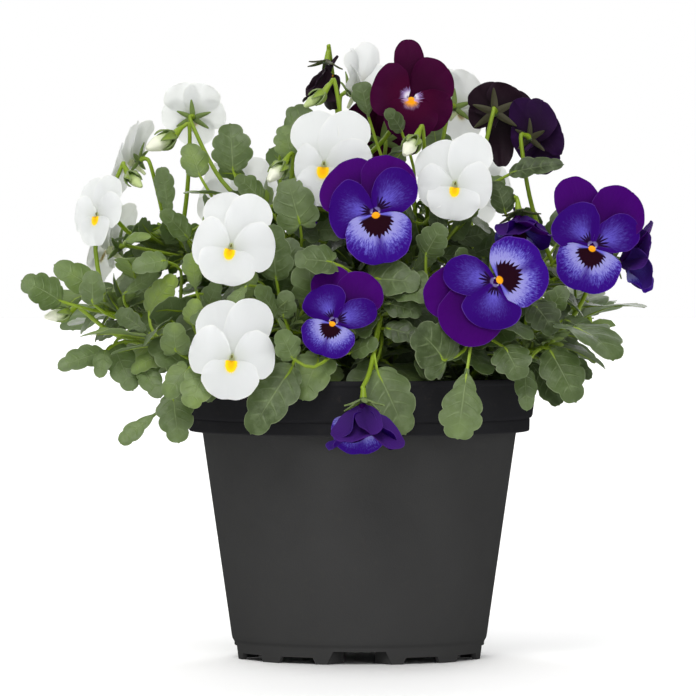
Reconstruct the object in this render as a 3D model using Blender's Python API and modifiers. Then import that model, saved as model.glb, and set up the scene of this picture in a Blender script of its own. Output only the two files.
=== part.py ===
# Horned violets of several colours, grown together in a round black nursery pot.
# Sizes are in millimetres from the pot's foot and axis, and become metres as each mesh is made.
# The whole stands AXIS_X to the right of the origin, which puts the origin under the middle of its box.

import collections
import heapq
import math
import random

import bpy
import bmesh
import numpy as np
from mathutils import Matrix, Vector
from mathutils.bvhtree import BVHTree

MM = 0.001
AXIS_X = 7.75
AXIS_Y = 4.3
SEED = 11
CLEAR = 0.4
SLACK = 0.53

# The photograph's view: how far off and how high it is taken, and the middle of its frame
VIEW_AWAY = 2600.0
VIEW_RISE = 1.4
VIEW_X = -4.1
VIEW_Z = 112.2

# Pot
RIM_R = 65.0
RIM_TOP = 102.0
BAND_STEP_Z = 87.0
BAND_UPPER_R = 62.9
BAND_LOWER_R = 61.8
RIM_UNDER_Z = 82.2
BODY_TOP_R = 56.9
BODY_FOOT_R = 46.3
LEDGE_Z = 7.0
FOOT_R = 45.2
WALL = 1.3
FLOOR_UNDER_Z = 5.4
FLOOR_TOP_Z = 7.0
NOTCH_WIDE = 14.0
NOTCH_WIDE_Z = 4.7
NOTCH_SMALL = 9.6
NOTCH_SMALL_Z = 2.4
DRAIN_R = 4.0
DRAIN_RING_R = 27.0
POT_STEPS = 32

# Soil
SOIL_TOP = 91.0
SOIL_GAP = 0.3
HOLE_R = 2.2
HOLE_DEPTH = 12.0

# Plant
STEM_R = 1.5
PETIOLE_R = 0.7
LEAF_THICK = 1.0
PETAL_THICK = 0.9
TOOTH = 0.055
STEM_SPOTS = 20
RULE_STEPS = 13
RULE_FRONT = 4
RULE_BACK = 9

# Half outlines of the blades from base to tip: along in blade lengths, across in blade widths.
PROFILES = {
    "round": [(0, 0.04), (-0.09, 0.16), (-0.11, 0.33), (0.03, 0.46), (0.27, 0.5), (0.53, 0.47),
              (0.77, 0.36), (0.94, 0.19), (1, 0)],
    "oval": [(0, 0.06), (0.03, 0.2), (0.14, 0.38), (0.32, 0.49), (0.53, 0.47), (0.73, 0.38),
             (0.92, 0.21), (1, 0)],
    "spoon": [(0, 0.05), (0.12, 0.12), (0.28, 0.28), (0.48, 0.44), (0.66, 0.5), (0.83, 0.43),
              (0.96, 0.24), (1, 0)],
    "petal": [(0, 0.11), (0.08, 0.23), (0.24, 0.39), (0.46, 0.49), (0.68, 0.5), (0.87, 0.38),
              (0.98, 0.19), (1.0, 0)],
    "lip": [(0, 0.12), (0.0, 0.29), (0.12, 0.44), (0.36, 0.5), (0.62, 0.47), (0.84, 0.36),
            (0.98, 0.17), (0.97, 0)],
    "sepal": [(0, 0.3), (0.2, 0.5), (0.55, 0.4), (0.85, 0.2), (1, 0)],
}
RIBS = {"round": (0.22, 0.66), "oval": (0.28, 0.68), "spoon": (0.36, 0.7), "petal": (0.6,),
        "lip": (0.56,), "sepal": (0.42,)}

# Stems: name, foot on the soil, top.
SHOOTS = [
    ("a", (-32, -6), (-92, -12, 126)),
    ("b", (-24, 8), (-74, 10, 152)),
    ("c", (-30, -24), (-66, -42, 112)),
    ("d", (-13, -33), (-30, -54, 124)),
    ("e", (-11, -12), (-36, -16, 162)),
    ("f", (1, 7), (-6, 4, 176)),
    ("g", (7, -31), (8, -50, 128)),
    ("h", (13, -8), (30, -8, 168)),
    ("i", (25, -26), (42, -48, 122)),
    ("j", (32, 3), (76, -4, 140)),
    ("k", (38, -15), (68, -38, 114)),
    ("l", (23, 27), (48, 50, 142)),
    ("m", (1, 33), (2, 64, 140)),
    ("n", (-22, 28), (-46, 52, 142)),
    ("o", (-39, 13), (-88, 40, 120)),
    ("p", (41, 18), (86, 38, 120)),
]

# Petals of a common flower: angle seen from the front, length, width, outline.
COMMON = [(116, 19.5, 18, "petal"), (64, 19.5, 18, "petal"), (172, 15, 17.5, "petal"),
          (8, 15, 17.5, "petal"), (-92, 14.5, 20, "lip")]

# Flowers: name, eye, turn to the right, tilt up, roll, size, petals of its own.
BLOOMS = [
    ("blue_1", (5.8, -56, 161.5), 0, 8, 0, 1.0,
     [(135, 21, 23, "petal"), (69, 20.5, 19.5, "petal"), (174, 15.5, 20.5, "petal"),
      (48, 17.5, 16, "petal"), (-81, 18, 24, "lip")]),
    ("blue_2", (-9.4, -66, 121.8), -6, 6, 0, 1.0,
     [(94, 19.4, 15, "petal"), (47, 20.3, 17, "petal"), (115, 12.5, 15.5, "petal"),
      (18, 15, 10.5, "petal"), (-108, 12, 19.5, "lip")]),
    ("blue_3", (49.6, -66, 136.3), 8, 4, 0, 1.0,
     [(-165, 25, 19, "petal"), (-127, 24.5, 23, "petal"), (168, 18, 14, "petal"),
      (-100, 16, 20.5, "petal"), (25, 18, 25.5, "lip")]),
    ("blue_4", (84.5, -38, 149.2), 12, 8, 0, 1.0,
     [(104, 25.5, 17, "petal"), (50, 25, 20, "petal"), (127, 15.5, 19.5, "petal"),
      (24, 18, 13.5, "petal"), (-106, 16.2, 24.5, "lip")]),
    ("white_4", (-46.6, -62, 148.8), -4, 8, 0, 1.0,
     [(100, 19.6, 16, "petal"), (61, 20, 16, "petal"), (167, 12.8, 18, "petal"),
      (-1, 14.8, 18, "petal"), (-101, 12.9, 21, "lip")]),
    ("white_5", (-46.2, -74, 108.5), -6, 4, 0, 1.0,
     [(110, 20.4, 18, "petal"), (65, 21.6, 16.5, "petal"), (163, 14.6, 17.5, "petal"),
      (7, 14.2, 17.5, "petal"), (-94, 14, 20.2, "lip")]),
    ("white_6", (-12.8, -36, 178.6), -8, 8, 0, 1.0,
     [(108, 20, 17.5, "petal"), (57, 21.5, 17.5, "petal"), (178, 10, 14.5, "petal"),
      (12, 16.5, 15, "petal"), (-95, 14.4, 17.5, "lip")]),
    ("white_7", (34.7, -46, 171.3), 4, 6, 0, 1.0,
     [(122, 16.2, 18.5, "petal"), (62, 19.6, 15.5, "petal"), (183, 12.4, 15.5, "petal"),
      (0, 12.4, 16.5, "petal"), (-98, 11.8, 19.2, "lip")]),
    ("maroon_1", (18.8, -20, 203.3), 4, 2, 0, 1.0,
     [(92, 20.2, 11, "petal"), (37, 16.2, 17, "petal"), (162, 13.6, 20, "petal"),
      (-32, 15, 15.5, "petal"), (-92, 15, 19, "lip")]),
    ("white_3", (-95.2, -18, 160.5), -42, 6, 6, 0.74, None),
    ("white_2", (-84, 2, 180), -112, 16, -8, 0.82, None),
    ("white_1", (-60, 10, 196), 176, 22, 0, 0.74, None),
    ("white_8", (0, 18, 206), 56, 34, 0, 0.84, None),
    ("white_9", (36.5, 14, 199), 150, 12, 6, 0.8, None),
    ("dark_1", (-11.5, -4, 212), -36, -70, 20, 0.78, None),
    ("dark_2", (50, 6, 196.5), 170, 6, 0, 1.0,
     [(118, 12, 14, "petal"), (62, 12, 14, "petal"), (166, 13, 14, "petal"),
      (10, 9.5, 12, "petal"), (-95, 18, 10, "lip")]),
    ("dark_3", (65, -8, 187.5), 136, 8, 0, 0.82, None),
    ("blue_5", (58, -30, 157), 14, -62, 0, 0.86, None),
    ("blue_6", (1.5, -82, 88.5), 6, -74, 0, 0.88, None),
    ("blue_7", (97, -20, 143), 84, 2, 30, 0.9, None),
    ("back_1", (-44, 62, 164), 196, 14, 0, 1.0, None),
    ("back_2", (-4, 80, 146), 180, 10, 0, 1.05, None),
    ("back_3", (40, 64, 170), 168, 14, 0, 1.0, None),
    ("back_4", (88, 30, 154), 104, 12, 0, 1.0, None),
    ("back_5", (-92, 34, 148), 246, 12, 0, 0.95, None),
    ("back_6", (8, 44, 188), 188, 26, 0, 0.95, None),
    ("back_7", (-50, 84, 116), 200, 6, 0, 1.0, None),
    ("back_8", (52, 84, 124), 162, 6, 0, 1.05, None),
]
WILTED = ("dark_1", "white_8", "blue_5", "blue_6", "blue_7")
HUES = {"blue": "blue", "white": "white", "maroon": "maroon", "dark": "dark"}
BACK_HUES = {"back_1": "white", "back_2": "blue", "back_3": "white", "back_4": "blue",
             "back_5": "white", "back_6": "maroon", "back_7": "white", "back_8": "blue"}

# Buds: name, middle, turn, tilt, size.
BUDS = [
    ("white_1", (-71, -6, 187.5), -62, -24, 1.15),
    ("white_2", (-29.5, -30, 176.5), -40, -34, 1.0),
    ("white_3", (19, -42, 186), -30, -34, 1.0),
    ("white_4", (-108.6, -16, 124.5), -70, -10, 0.9),
    ("green_1", (-15.5, -22, 203), -85, -36, 0.85),
    ("green_2", (-82, -18, 173.5), 40, -30, 0.85),
    ("blue_1", (30, 52, 182), 160, -20, 0.9),
]

# Leaves read off the picture: foot of the blade, tip (both across and up), width, depth of foot
# and of tip, outline, teeth on each side.
FRONT_LEAVES = [
    ((-108.3, 129.2), (-122.6, 136.9), 13.4, -20, -24, "oval", 4),
    ((-94.9, 133.2), (-110.8, 142.7), 11.6, -12, -14, "oval", 3),
    ((-96.7, 128.1), (-97.0, 140.6), 9.5, -26, -24, "oval", 3),
    ((-86.1, 131.4), (-72.7, 139.8), 6.5, -26, -30, "spoon", 3),
    ((-76.7, 125.2), (-66.8, 138.7), 10, -30, -34, "oval", 4),
    ((-84.7, 151.5), (-75.6, 152.8), 5, -18, -22, "oval", 2),
    ((-92.7, 110.7), (-109.6, 104.9), 9.6, -28, -34, "oval", 4),
    ((-89.4, 113.6), (-82.1, 96.6), 11.5, -34, -40, "oval", 4),
    ((-92.2, 111.4), (-94.5, 101.3), 7, -38, -42, "oval", 3),
    ((-78.9, 105.3), (-72.0, 94.0), 8.5, -42, -48, "oval", 3),
    ((-73.8, 88.6), (-87.0, 77.7), 7, -46, -50, "spoon", 3),
    ((-67.6, 95.7), (-65.6, 77.7), 13.4, -48, -54, "oval", 4),
    ((-66.5, 110.7), (-67.3, 121.5), 10.6, -50, -54, "round", 3),
    ((-61.5, 103.9), (-76.2, 114.3), 13.6, -48, -50, "oval", 4),
    ((-62.4, 104.5), (-70.2, 94.0), 10, -60, -62, "round", 3),
    ((-56.6, 102.5), (-62.0, 90.6), 12, -68, -72, "round", 4),
    ((-59.3, 133.0), (-60.9, 146.8), 8, -44, -46, "spoon", 3),
    ((-54.6, 128.0), (-51.0, 136.4), 7.5, -50, -55, "oval", 3),
    ((-60.7, 120.6), (-59.3, 130.0), 8, -52, -56, "oval", 3),
    ((-43.0, 130.5), (-38.4, 140.5), 9, -56, -58, "oval", 3),
    ((-24.1, 105.8), (-39.8, 81.0), 16.2, -68, -73, "oval", 4),
    ((-14.8, 108.6), (-20.8, 93.5), 15, -60, -68, "round", 4),
    ((6.4, 104.4), (17.0, 80.6), 17, -67.6, -70, "oval", 4),
    ((5.6, 105.0), (-5.0, 94.6), 10, -62, -67, "round", 4),
    ((-17.2, 131.0), (-18.8, 146.2), 14, -54, -58, "round", 4),
    ((-23.0, 134.7), (-27.6, 152.0), 15.6, -46, -48, "round", 4),
    ((4.6, 137.4), (22.0, 136.0), 14.2, -54, -60, "round", 4),
    ((9.4, 128.6), (22.6, 124.8), 9.6, -56, -60, "oval", 4),
    ((9.4, 119.6), (22.6, 116.0), 9, -58, -62, "oval", 3),
    ((-27.5, 123.1), (-26.2, 133.1), 8.5, -58, -61, "oval", 3),
    ((-24.2, 108.4), (-29.0, 118.6), 10, -64, -68, "oval", 3),
    ((-2.8, 110.6), (7.0, 114.2), 8.5, -60, -66, "oval", 3),
    ((31.5, 107.4), (21.0, 119.0), 20.5, -64, -70, "round", 4),
    ((39.2, 104.6), (35.6, 79.0), 15.2, -68, -73, "spoon", 4),
    ((60.1, 104.9), (60.9, 89.3), 8, -52, -58, "oval", 3),
    ((52.8, 112.6), (58.5, 101.0), 14.5, -58, -64, "oval", 4),
    ((69.2, 111.7), (79.0, 92.5), 15.6, -44, -50, "oval", 4),
    ((74.2, 122.7), (92.6, 113.3), 8, -36, -40, "oval", 4),
    ((63.1, 128.5), (71.0, 117.8), 13, -46, -50, "oval", 4),
    ((69.0, 125.6), (75.0, 134.4), 9, -40, -42, "oval", 3),
    ((-45.8, 176.4), (-46.9, 194.0), 14.8, -22, -20, "oval", 4),
    ((-57.8, 174.6), (-62.4, 186.6), 10.6, -16, -12, "oval", 3),
    ((-27.3, 189.4), (-18.6, 200.0), 10, -14, -12, "spoon", 3),
    ((-24.4, 181.1), (-27.6, 193.2), 10.8, -20, -18, "oval", 4),
    ((-21.5, 157.0), (-26.2, 173.6), 15.2, -38, -36, "round", 4),
    ((-35.3, 166.1), (-44.8, 174.6), 10, -32, -34, "oval", 4),
    ((3.4, 196.1), (0.3, 208.8), 8.8, -12, -10, "spoon", 3),
    ((15.5, 191.0), (9.6, 198.8), 7.5, -27, -30, "oval", 3),
    ((-68.7, 158.6), (-71.8, 178.0), 7.4, -8, -8, "spoon", 4),
    ((54.5, 175.7), (74.2, 179.2), 9, -18, -22, "oval", 4),
    ((53.0, 161.4), (48.9, 173.0), 11, -30, -28, "oval", 4),
    ((24.0, 146.0), (30.5, 157.0), 11.5, -50, -54, "oval", 4),
    ((-62.0, 152.0), (-72.0, 162.0), 9.5, -26, -30, "oval", 3),
    ((-70.0, 144.0), (-82.5, 141.0), 9.5, -34, -38, "oval", 3),
]


def vec(*xyz):
    return np.array(xyz, float)


def unit(v):
    v = np.asarray(v, float)
    return v / max(float(np.linalg.norm(v)), 1e-9)


def bezier(a, b, c, d, count):
    t = np.linspace(0.0, 1.0, count)[:, None]
    return a * (1 - t) ** 3 + 3 * b * t * (1 - t) ** 2 + 3 * c * t * t * (1 - t) + d * t ** 3


def heading(yaw, pitch):
    # A turn of 0 faces the viewer at -Y, and a positive one turns towards +X.
    a, b = math.radians(yaw), math.radians(pitch)
    return vec(math.sin(a) * math.cos(b), -math.cos(a) * math.cos(b), math.sin(b))


def seen_at(x, y, z):
    # The point at depth y that the photograph shows at x and z of the pot's own middle plane.
    rise = math.radians(VIEW_RISE)
    near = (VIEW_AWAY + y) / VIEW_AWAY
    return vec(VIEW_X + (x - VIEW_X) * near, y,
               VIEW_Z + ((z - VIEW_Z) * near - y * math.sin(rise)) / math.cos(rise))


# Blades: leaves, petals and sepals share one outline and one surface rule

def curve_at(points, k):
    # Smooth curve through points, where k counts along them from 0.
    points, k = np.asarray(points, float), np.asarray(k, float)
    i = np.clip(k.astype(int), 0, len(points) - 2)
    f = (k - i)[:, None]
    p0, p1, p2, p3 = (points[np.clip(i + j, 0, len(points) - 1)] for j in (-1, 0, 1, 2))
    return 0.5 * (2 * p1 + (p2 - p0) * f + (2 * p0 - 5 * p1 + 4 * p2 - p3) * f ** 2
                  + (3 * p1 - p0 - 3 * p2 + p3) * f ** 3)


def edge_at(profile, q):
    return curve_at(PROFILES[profile], np.asarray(q) * (len(PROFILES[profile]) - 1))


def toothed(blade, q):
    # Half outline in mm, pushed in and out by the rounded teeth.
    size = vec(blade["length"], blade["width"])
    here = edge_at(blade["profile"], q) * size
    if not blade["teeth"]:
        return here
    ahead = edge_at(blade["profile"], np.clip(q + 0.01, 0, 1)) * size
    behind = edge_at(blade["profile"], np.clip(q - 0.01, 0, 1)) * size
    run = ahead - behind
    run /= np.maximum(np.linalg.norm(run, axis=1, keepdims=True), 1e-9)
    out = np.stack([-run[:, 1], run[:, 0]], axis=1)
    phase = np.clip((q - 0.1) / 0.86, 0, 1) * blade["teeth"]
    wave = np.abs(np.sin(math.pi * phase)) ** 0.6 - 0.55
    wave *= np.clip(q / 0.1, 0, 1) * np.clip((1 - q) / 0.09, 0, 1)
    return here + out * (TOOTH * blade["width"] * wave)[:, None]


def make_blade(base, tip, up, width, profile, teeth=0, **more):
    blade = {"base": np.asarray(base, float), "tip": np.asarray(tip, float), "width": width,
             "profile": profile, "teeth": teeth, "sag": 0.0, "fold": 0.0, "cup": 0.0, "ripple": 0.0,
             "waves": 1.5, "phase": 0.0, "curl": 0.0, "thick": LEAF_THICK, "petiole": None,
             "read": False}
    blade.update(more)
    blade.setdefault("plain_teeth", teeth)
    run = blade["tip"] - blade["base"]
    blade["length"] = float(np.linalg.norm(run))
    blade["e"] = unit(run)
    up = np.asarray(up, float)
    blade["n"] = unit(up - blade["e"] * float(up @ blade["e"]))
    blade["s"] = np.cross(blade["n"], blade["e"])
    return blade


def on_blade(blade, x, y):
    # x and y in mm along the rib and across it.
    x, y = np.asarray(x, float), np.asarray(y, float)
    t = x / blade["length"]
    k = 2 * np.abs(y) / blade["width"]
    side = np.where(y > 0, 1.9, 0.0)
    h = blade["sag"] * 4 * t * (1 - t) + blade["fold"] * np.abs(y) + blade["cup"] * k ** 2
    h = h + blade["ripple"] * k ** 2 * np.sin(2 * math.pi * blade["waves"] * t + blade["phase"] + side)
    h = h + blade["curl"] * np.clip((t - 0.4) / 0.6, 0, 2) ** 2
    return (blade["base"] + blade["e"] * x[:, None] + blade["s"] * y[:, None]
            + blade["n"] * h[:, None])


def plain_blade(blade, fat=0.0):
    # Few-sided solid: both faces share the outline and are split alike, and meet there.
    teeth, profile = blade["plain_teeth"], blade["profile"]
    pointed = profile not in ("petal", "lip")
    if teeth:
        steps = np.arange(1, 2 * teeth) / (2 * teeth)
        q = np.concatenate([[0.0], 0.1 + 0.86 * steps, [1.0]])
    else:
        q = vec(0, 0.55, 0.9) if pointed else vec(0, 0.36, 0.66, 0.93) if blade["read"] else vec(0, 0.42, 0.88)
    half = toothed(dict(blade, teeth=teeth), q)
    half[0, 1] = max(half[0, 1], 0.45)
    ribs = np.array(RIBS[profile]) * blade["length"]
    m, k = len(half), len(ribs)
    if pointed:
        half[-1, 1] = 0.0
    left = on_blade(blade, half[:, 0], half[:, 1])
    right = on_blade(blade, half[:, 0], -half[:, 1])
    rib = on_blade(blade, ribs, ribs * 0)
    up = blade["n"] * blade["thick"] / 2
    verts = [*left, *right, *(rib + up), *(rib - up)]
    L, R, T, K = list(range(m)), list(range(m, 2 * m)), 2 * m, 2 * m + k
    if pointed:
        R[-1] = L[-1]
    near = [int(np.argmin(np.abs(ribs - x))) for x in half[:, 0]]
    near = np.maximum.accumulate(near)
    faces = []
    for i in range(m - 1):
        for side, chain in ((1, L), (-1, R)):
            a, b = chain[i], chain[i + 1]
            top = [[a, T + near[i], b]]
            top += [[b, T + j, T + j + 1] for j in range(near[i], near[i + 1])]
            low = [[a, b, K + near[i]]]
            low += [[b, K + j + 1, K + j] for j in range(near[i], near[i + 1])]
            for f in top + low:
                faces.append(f if side > 0 else f[::-1])
    if not pointed:
        faces += [[R[-1], L[-1], T + near[-1]], [L[-1], R[-1], K + near[-1]]]
    faces.append([L[0], R[0], T + near[0]])
    if blade["petiole"] is None:
        faces.append([R[0], L[0], K + near[0]])
        return thicken(np.array(verts), faces, fat)
    # The stalk of the leaf runs on from the blade's foot as a three-cornered bar.
    path = blade["petiole"]
    side = blade["s"]
    r = PETIOLE_R
    keel = len(verts)
    verts.append(blade["base"] - blade["n"] * 1.5 * r)
    faces += [[R[0], keel, K + near[0]], [keel, L[0], K + near[0]]]
    last = (L[0], R[0], keel)
    for j in range(len(path) - 2, -1, -1):
        run = unit(path[j + 1] - path[j] if j == 0 else path[j + 1] - path[j - 1])
        side = unit(side - run * float(side @ run))
        up = np.cross(run, side)
        n = len(verts)
        verts += [path[j] + side * r, path[j] - side * r, path[j] - up * 1.5 * r]
        a, b, c = n, n + 1, n + 2
        faces += [[a, last[1], last[0]], [a, b, last[1]], [b, last[2], last[1]], [b, c, last[2]],
                  [c, last[0], last[2]], [c, a, last[0]]]
        last = (a, b, c)
    faces.append([last[0], last[2], last[1]])
    return thicken(np.array(verts), faces, fat)


def calyx_star(flower, fat=0.0):
    # The sepals as one closed star, thick in the middle and sharp at its edge.
    f, seat, size = flower["f"], flower["seat"], flower["size"]
    tips = [s["tip"] for s in flower["sepals"]]
    outs = [unit(s["tip"] - s["base"]) for s in flower["sepals"]]
    verts = [seat + f * 0.4, seat - f * 0.9]
    faces = []
    n = len(tips)
    for i in range(n):
        dip = seat + unit(outs[i] + outs[(i + 1) % n]) * 1.3 * size
        verts += [tips[i], dip]
    for i in range(2 * n):
        a, b = 2 + i, 2 + (i + 1) % (2 * n)
        faces += [[0, a, b], [1, b, a]]
    return thicken(np.array(verts), faces, fat)


def thicken(verts, faces, fat):
    if fat:
        normals = np.zeros_like(verts)
        for f in faces:
            n = np.cross(verts[f[1]] - verts[f[0]], verts[f[2]] - verts[f[0]])
            for i in f:
                normals[i] += n
        size = np.maximum(np.linalg.norm(normals, axis=1, keepdims=True), 1e-9)
        verts = verts + normals / size * fat
    return verts, faces


def bar(points, radii, sides=4):
    # Round bar through points, as a swept ring with closed ends.
    points = np.asarray(points, float)
    verts, faces = [], []
    lean = vec(0.31, 0.94, 0.12)
    for i, p in enumerate(points):
        run = unit(points[min(i + 1, len(points) - 1)] - points[max(i - 1, 0)])
        a = unit(lean - run * float(lean @ run))
        b = np.cross(run, a)
        lean = a
        for k in range(sides):
            w = 2 * math.pi * k / sides
            verts.append(p + radii[i] * (a * math.cos(w) + b * math.sin(w)))
    for i in range(len(points) - 1):
        for k in range(sides):
            a, b = i * sides + k, i * sides + (k + 1) % sides
            faces += [[a, b, b + sides], [a, b + sides, a + sides]]
    faces += [[0, k + 1, k] for k in range(1, sides - 1)]
    top = (len(points) - 1) * sides
    faces += [[top, top + k, top + k + 1] for k in range(1, sides - 1)]
    return np.array(verts), faces


# Flowers: where each petal, spur, sepal and neck lies

def bloom_frame(yaw, pitch, roll):
    f = heading(yaw, pitch)
    up = unit(vec(0, 0, 1) - f * f[2]) if abs(f[2]) < 0.97 else unit(vec(0, 1, 0) - f * f[1])
    right = np.cross(up, f)
    c, s = math.cos(math.radians(roll)), math.sin(math.radians(roll))
    return f, up * c - right * s, right * c + up * s


def make_bloom(name, eye, yaw, pitch, roll, size, petals, rnd):
    f, up, right = bloom_frame(yaw, pitch, roll)
    eye = vec(*eye)
    hue = BACK_HUES.get(name) or HUES[name.split("_")[0]]
    wilted = name in WILTED
    depths = (-2.3, -1.2, -0.1, -0.1, 0.9)
    blades = []
    for i, (angle, length, width, profile) in enumerate(petals or COMMON):
        a = math.radians(angle + (0 if petals else rnd.uniform(-5, 5)))
        ray = right * math.cos(a) + up * math.sin(a)
        base = eye + ray * 0.9 * size + f * depths[i] * size
        lift = (-0.06, -0.04, 0.02, 0.04, 0.02)[i] * length
        fold, ripple, spread = rnd.uniform(-0.05, 0.03), rnd.uniform(0.5, 0.9), 1.0
        curl = rnd.uniform(-1.6, -0.6)
        if wilted:
            spread, lift = rnd.uniform(0.4, 0.7), rnd.uniform(0.7, 0.9) * length
            fold, ripple = -0.3, 1.6
            curl = -rnd.uniform(2, 4)
        tip = base + (ray * length * spread + f * lift) * size
        blade = make_blade(base, tip, f, width * size, profile, thick=PETAL_THICK, ripple=ripple * size,
                           fold=fold, curl=curl * size, waves=rnd.uniform(0.8, 1.3), sag=0.6 * size,
                           phase=rnd.uniform(0, 6.3), layer=i, angle=a, eye=eye, axes=(right, up, f),
                           size=size, read=petals is not None)
        blades.append(blade)
    core = ([eye + f * 1.6 * size, eye - f * 3.3 * size], [1.4 * size, 2.4 * size])
    spur = (bezier(eye - f * 2.4 * size - up * 0.6 * size, eye - f * 5 * size - up * 1.4 * size,
                   eye - f * 7 * size - up * 1.8 * size, eye - f * 9.5 * size - up * 3.4 * size, 3),
            [1.3 * size, 1.1 * size, 0.7 * size])
    seat = eye - f * 5.6 * size + up * 1.7 * size
    sepals = []
    for a in (90, 158, 212, 328, 22):
        w = math.radians(a + rnd.uniform(-6, 6))
        ray = right * math.cos(w) + up * math.sin(w)
        base = seat + ray * 0.5
        tip = seat + (ray * rnd.uniform(8.4, 9.6) + f * rnd.uniform(0.2, 0.9)) * size
        sepals.append(make_blade(base, tip, f, 2.9 * size, "sepal", thick=0.9, curl=-0.5 * size))
    return {"name": name, "hue": hue, "eye": eye, "f": f, "up": up, "right": right, "size": size,
            "petals": blades, "core": core, "spur": spur, "seat": seat, "sepals": sepals,
            "wilted": wilted}


def make_bud(name, middle, yaw, pitch, size):
    f = heading(yaw, pitch)
    up = unit(vec(0, 0, 1) - f * f[2])
    right = np.cross(up, f)
    middle = vec(*middle)
    seat = middle - f * 4.4 * size
    tips = ([middle - f * 3.1 * size, middle - f * 1.2 * size, middle + f * 2.6 * size,
             middle + f * 6.5 * size], [0.25 * size, 1.7 * size, 2.2 * size, 0.6 * size])
    sepals = []
    for a in (90, 162, 234, 306, 18):
        w = math.radians(a)
        ray = right * math.cos(w) + up * math.sin(w)
        base = seat + ray * 0.4
        tip = middle + (ray * 4.7 + f * 1.2) * size
        sepals.append(make_blade(base, tip, f - ray, 2.6 * size, "sepal", thick=0.8,
                                 sag=-0.7 * size))
    return {"name": name, "hue": name.split("_")[0], "f": f, "up": up, "right": right, "size": size,
            "seat": seat, "tips": tips, "sepals": sepals, "eye": middle}


# Laying out: each candidate is tried against what already stands, and bent until it is clear

class Stand:
    def __init__(self):
        self.items = []

    def add(self, node, shape, kind):
        verts, faces = shape
        low, high = verts.min(axis=0), verts.max(axis=0)
        tree = BVHTree.FromPolygons(verts.tolist(), faces)
        self.items.append((node, kind, low, high, tree))

    def clear(self, node, fat_shape):
        # Bars of one node may run into each other, but nothing crosses a blade.
        verts, faces = fat_shape
        low, high = verts.min(axis=0), verts.max(axis=0)
        tree = None
        for other, what, lo, hi, tree_there in self.items:
            if other == node and what != "blade":
                continue
            if (lo > high).any() or (hi < low).any():
                continue
            if tree is None:
                tree = BVHTree.FromPolygons(verts.tolist(), faces)
            if tree.overlap(tree_there):
                return False
        return True


def faces_clear(plan, verts, reach=14):
    # Nothing by rule stands close before a flower's face.
    for bloom in plan["blooms"]:
        if bloom["wilted"]:
            continue
        rel = verts - bloom["eye"]
        depth = rel @ bloom["f"]
        wide = np.linalg.norm(rel - depth[:, None] * bloom["f"], axis=1)
        if ((depth > 1.5) & (depth < 28) & (wide < reach * bloom["size"])).any():
            return False
    return True


def keep_out():
    # The pot and the soil, a little swollen, as one turned surface.
    g = 0.7
    line = [(0.5, SOIL_TOP + 1.2), (61.0, SOIL_TOP + 1.2), (62.4, RIM_TOP + g), (RIM_R + g, RIM_TOP + g),
            (RIM_R + g, RIM_UNDER_Z - g), (BODY_TOP_R + g, RIM_UNDER_Z - g), (FOOT_R + 2, 0)]
    steps, verts, faces = 40, [], []
    for k in range(steps):
        w = 2 * math.pi * k / steps
        verts += [(r * math.cos(w) * 1.003, r * math.sin(w) * 1.003, z) for r, z in line]
    n = len(line)
    for k in range(steps):
        for i in range(n - 1):
            a, b = k * n + i, ((k + 1) % steps) * n + i
            faces += [[a, b, b + 1], [a, b + 1, a + 1]]
    return np.array(verts), faces


def corolla_shapes(bloom, fat=0.0):
    shapes = [plain_blade(b, fat) for b in bloom["petals"]]
    points, radii = bloom["core"]
    shapes.append(bar(points, [r + fat for r in radii], 5))
    points, radii = bloom["spur"]
    shapes.append(bar(points, [r + fat for r in radii], 4))
    return shapes


def merged(shapes):
    verts, faces, n = [], [], 0
    for v, f in shapes:
        verts.append(v)
        faces += [[i + n for i in face] for face in f]
        n += len(v)
    return np.concatenate(verts), faces


def stem_line(foot, top):
    x, y = foot
    low = vec(x, y, SOIL_TOP - HOLE_DEPTH + 1)
    rise = vec(x, y, SOIL_TOP + 3)
    top = vec(*top)
    out = top - rise
    bend = rise + vec(0, 0, 0.35 * np.linalg.norm(out))
    back = top - unit(vec(out[0], out[1], 0.5 * out[2])) * 0.38 * np.linalg.norm(out)
    return np.concatenate([[low], bezier(rise, bend, back, top, 6)])


def stem_point(stem, t):
    k = t * (len(stem) - 1)
    i = min(int(k), len(stem) - 2)
    f = k - i
    return stem[i] * (1 - f) + stem[i + 1] * f, unit(stem[i + 1] - stem[i])


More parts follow.
